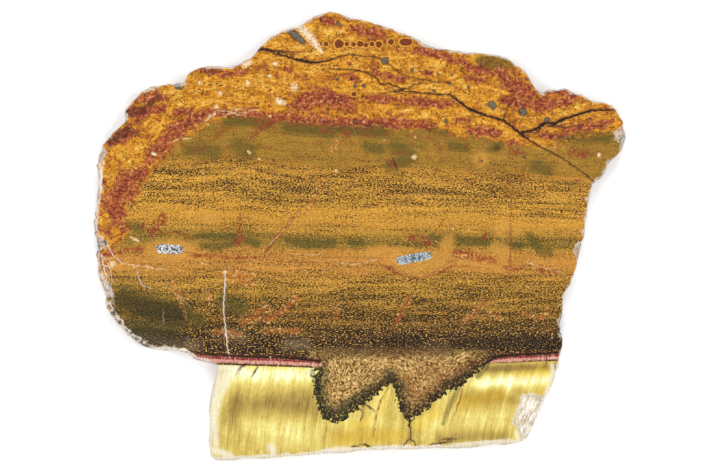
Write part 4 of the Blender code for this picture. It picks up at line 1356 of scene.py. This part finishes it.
def splinterTree():
    # tapered slivers that lie on a broken surface along its fibres
    tree = bpy.data.node_groups.new("splinters", "GeometryNodeTree")
    for name, kind in (("Bed", "Geometry"), ("Length", "Float"), ("Width", "Float"), ("Spacing", "Float"),
                       ("Fibre direction", "Vector"), ("Seed", "Int"), ("Finish", "Material")):
        tree.interface.new_socket(name, in_out="INPUT", socket_type="NodeSocket" + kind)
    tree.interface.new_socket("Splinters", in_out="OUTPUT", socket_type="NodeSocketGeometry")
    add = functools.partial(addNode, tree)
    bed, length, width, spacing, direction, seed, finish = add("NodeGroupInput").node.outputs[:7]
    sliver = add("GeometryNodeMeshCone", named={
        "Vertices": 5, "Depth": length, "Radius Top": add("Math", width, 0.12, **times),
        "Radius Bottom": add("Math", width, 0.5, **times)})
    middle = add("CombineXYZ", 0.0, 0.0, add("Math", length, -0.5, **times))
    sliver = add("GeometryNodeTransform", sliver, named={"Translation": middle})
    points = add("GeometryNodeDistributePointsOnFaces", bed,
                 named={"Distance Min": spacing, "Density Max": 4.0e7, "Seed": seed},
                 distribute_method="POISSON")
    normal = points.node.outputs["Normal"]
    rise = add("VectorMath", direction, normal, operation="DOT_PRODUCT")
    lying = add("VectorMath", direction, add("VectorMath", normal, rise, operation="SCALE"),
                operation="SUBTRACT")
    astray = add("FunctionNodeRandomValue", (-0.09, -0.09, -0.07), (0.09, 0.09, 0.07), named={"Seed": seed},
                 data_type="FLOAT_VECTOR")
    along = add("FunctionNodeAlignRotationToVector",
                named={"Vector": add("VectorMath", lying, astray, **plus)}, axis="Z")
    size = add("FunctionNodeRandomValue", (0.6, 0.6, 0.3), (1.2, 1.2, 1.1), named={"Seed": seed},
               data_type="FLOAT_VECTOR")
    laid = add("GeometryNodeInstanceOnPoints", points,
               named={"Instance": sliver, "Rotation": along, "Scale": size})
    laid = add("GeometryNodeRealizeInstances", laid)
    add("NodeGroupOutput", add("GeometryNodeSetMaterial", laid, named={"Material": finish}))
    return tree


def brokenFibre():
    # tiger eye snapped across its silk and never polished: pale and satiny, brown between the slivers
    material, add, place = newMaterial("brokenFibre")
    turn = math.radians(splinters["lean"])
    along = add("VectorRotate", place, (0.0, 0.0, 0.0), (0.0, 0.0, 1.0), turn)
    strands = add("TexNoise", add("VectorMath", along, (2.2, 0.22, 2.2), **times), 1.0, 3.0, 0.7)
    colour = add("ValToRGB", strands, stops=[(0.30, "#7E6A50"), (0.39, "#BCAC92"), (0.47, "#E4DAC8"),
                                             (0.58, "#F6F0E6"), (0.75, "#FDFBF6")])
    stained = add("MapRange", add("TexNoise", place, 0.35, 3.0), 0.50, 0.66, 0.0, 0.5, **soft)
    colour = add("Mix", stained, colour, "#B79A5E", data_type="RGBA")
    bump = add("Bump", named={"Height": strands, "Strength": 0.4, "Distance": 0.06 * mm})
    shader = add("BsdfPrincipled", named={"Base Color": colour, "Roughness": 0.45, "IOR": 1.544,
                                          "Normal": bump})
    add("OutputMaterial", shader)
    return material


lean = math.radians(splinters["lean"])
splinterPiece = growNodes("cornerSplinters", splinterBed(), splinterTree(), {
    "Length": splinters["length"] * mm, "Width": splinters["width"] * mm,
    "Spacing": splinters["spacing"] * mm, "Fibre direction": (math.sin(lean), math.cos(lean), 0.0),
    "Seed": splinters["seed"], "Finish": brokenFibre()})


# Floor, light and camera

studio = {
    "floorSize": 4.0,            # m
    "floorColour": "#FFFFFF",
    "worldStrength": 0.30,
    "boxSize": 0.55,             # m, square soft boxes all round
    "boxPower": 4.6,
    "boxes": {"left": (-0.66, 0.06, 0.95), "right": (0.66, 0.06, 0.95),
              "back": (0.0, 0.70, 0.92), "front": (0.0, -0.70, 0.92)},
    "cameraHeight": 0.597,
    "cameraSide": -1.95,         # mm, the photograph's middle lies left of the slab's
}


def makeFloor():
    half = studio["floorSize"] / 2
    mesh = bpy.data.meshes.new("floor")
    corners = [(-half, -half), (half, -half), (half, half), (-half, half)]
    mesh.from_pydata([(x, y, -0.1 * mm) for x, y in corners], [], [(0, 1, 2, 3)])
    material = bpy.data.materials.new("palePaper")
    material.use_nodes = True
    shader = material.node_tree.nodes["Principled BSDF"]
    shader.inputs["Base Color"].default_value = linear(studio["floorColour"])
    shader.inputs["Roughness"].default_value = 0.9
    mesh.materials.append(material)
    floor = bpy.data.objects.new("floor", mesh)
    bpy.context.scene.collection.objects.link(floor)


def makeLights():
    world = bpy.data.worlds.new("studio")
    world.use_nodes = True
    world.node_tree.nodes["Background"].inputs["Color"].default_value = (1.0, 1.0, 1.0, 1.0)
    world.node_tree.nodes["Background"].inputs["Strength"].default_value = studio["worldStrength"]
    bpy.context.scene.world = world
    for name, spot in studio["boxes"].items():
        data = bpy.data.lights.new(name + "Box", "AREA")
        data.shape = "SQUARE"
        data.size = studio["boxSize"]
        data.energy = studio["boxPower"]
        light = bpy.data.objects.new(name + "Box", data)
        light.location = spot
        light.rotation_euler = (-Vector(spot)).to_track_quat("-Z", "Y").to_euler()
        bpy.context.scene.collection.objects.link(light)


def makeCamera():
    data = bpy.data.cameras.new("camera")
    data.lens = photoView["lens"]
    data.sensor_width = photoView["sensor"]
    data.clip_start = 0.01
    camera = bpy.data.objects.new("camera", data)
    camera.location = (studio["cameraSide"] * mm, 0.0, studio["cameraHeight"])
    bpy.context.scene.collection.objects.link(camera)
    bpy.context.scene.camera = camera
    bpy.context.scene.view_settings.view_transform = "Standard"


makeFloor()
makeLights()
makeCamera()
print("studio set")

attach(splinterPiece, "root")
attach(slab, "root")
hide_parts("slab")
for side, crust in pockets.items():
    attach(crust, "root")
    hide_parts("pocket_crystals_" + side)
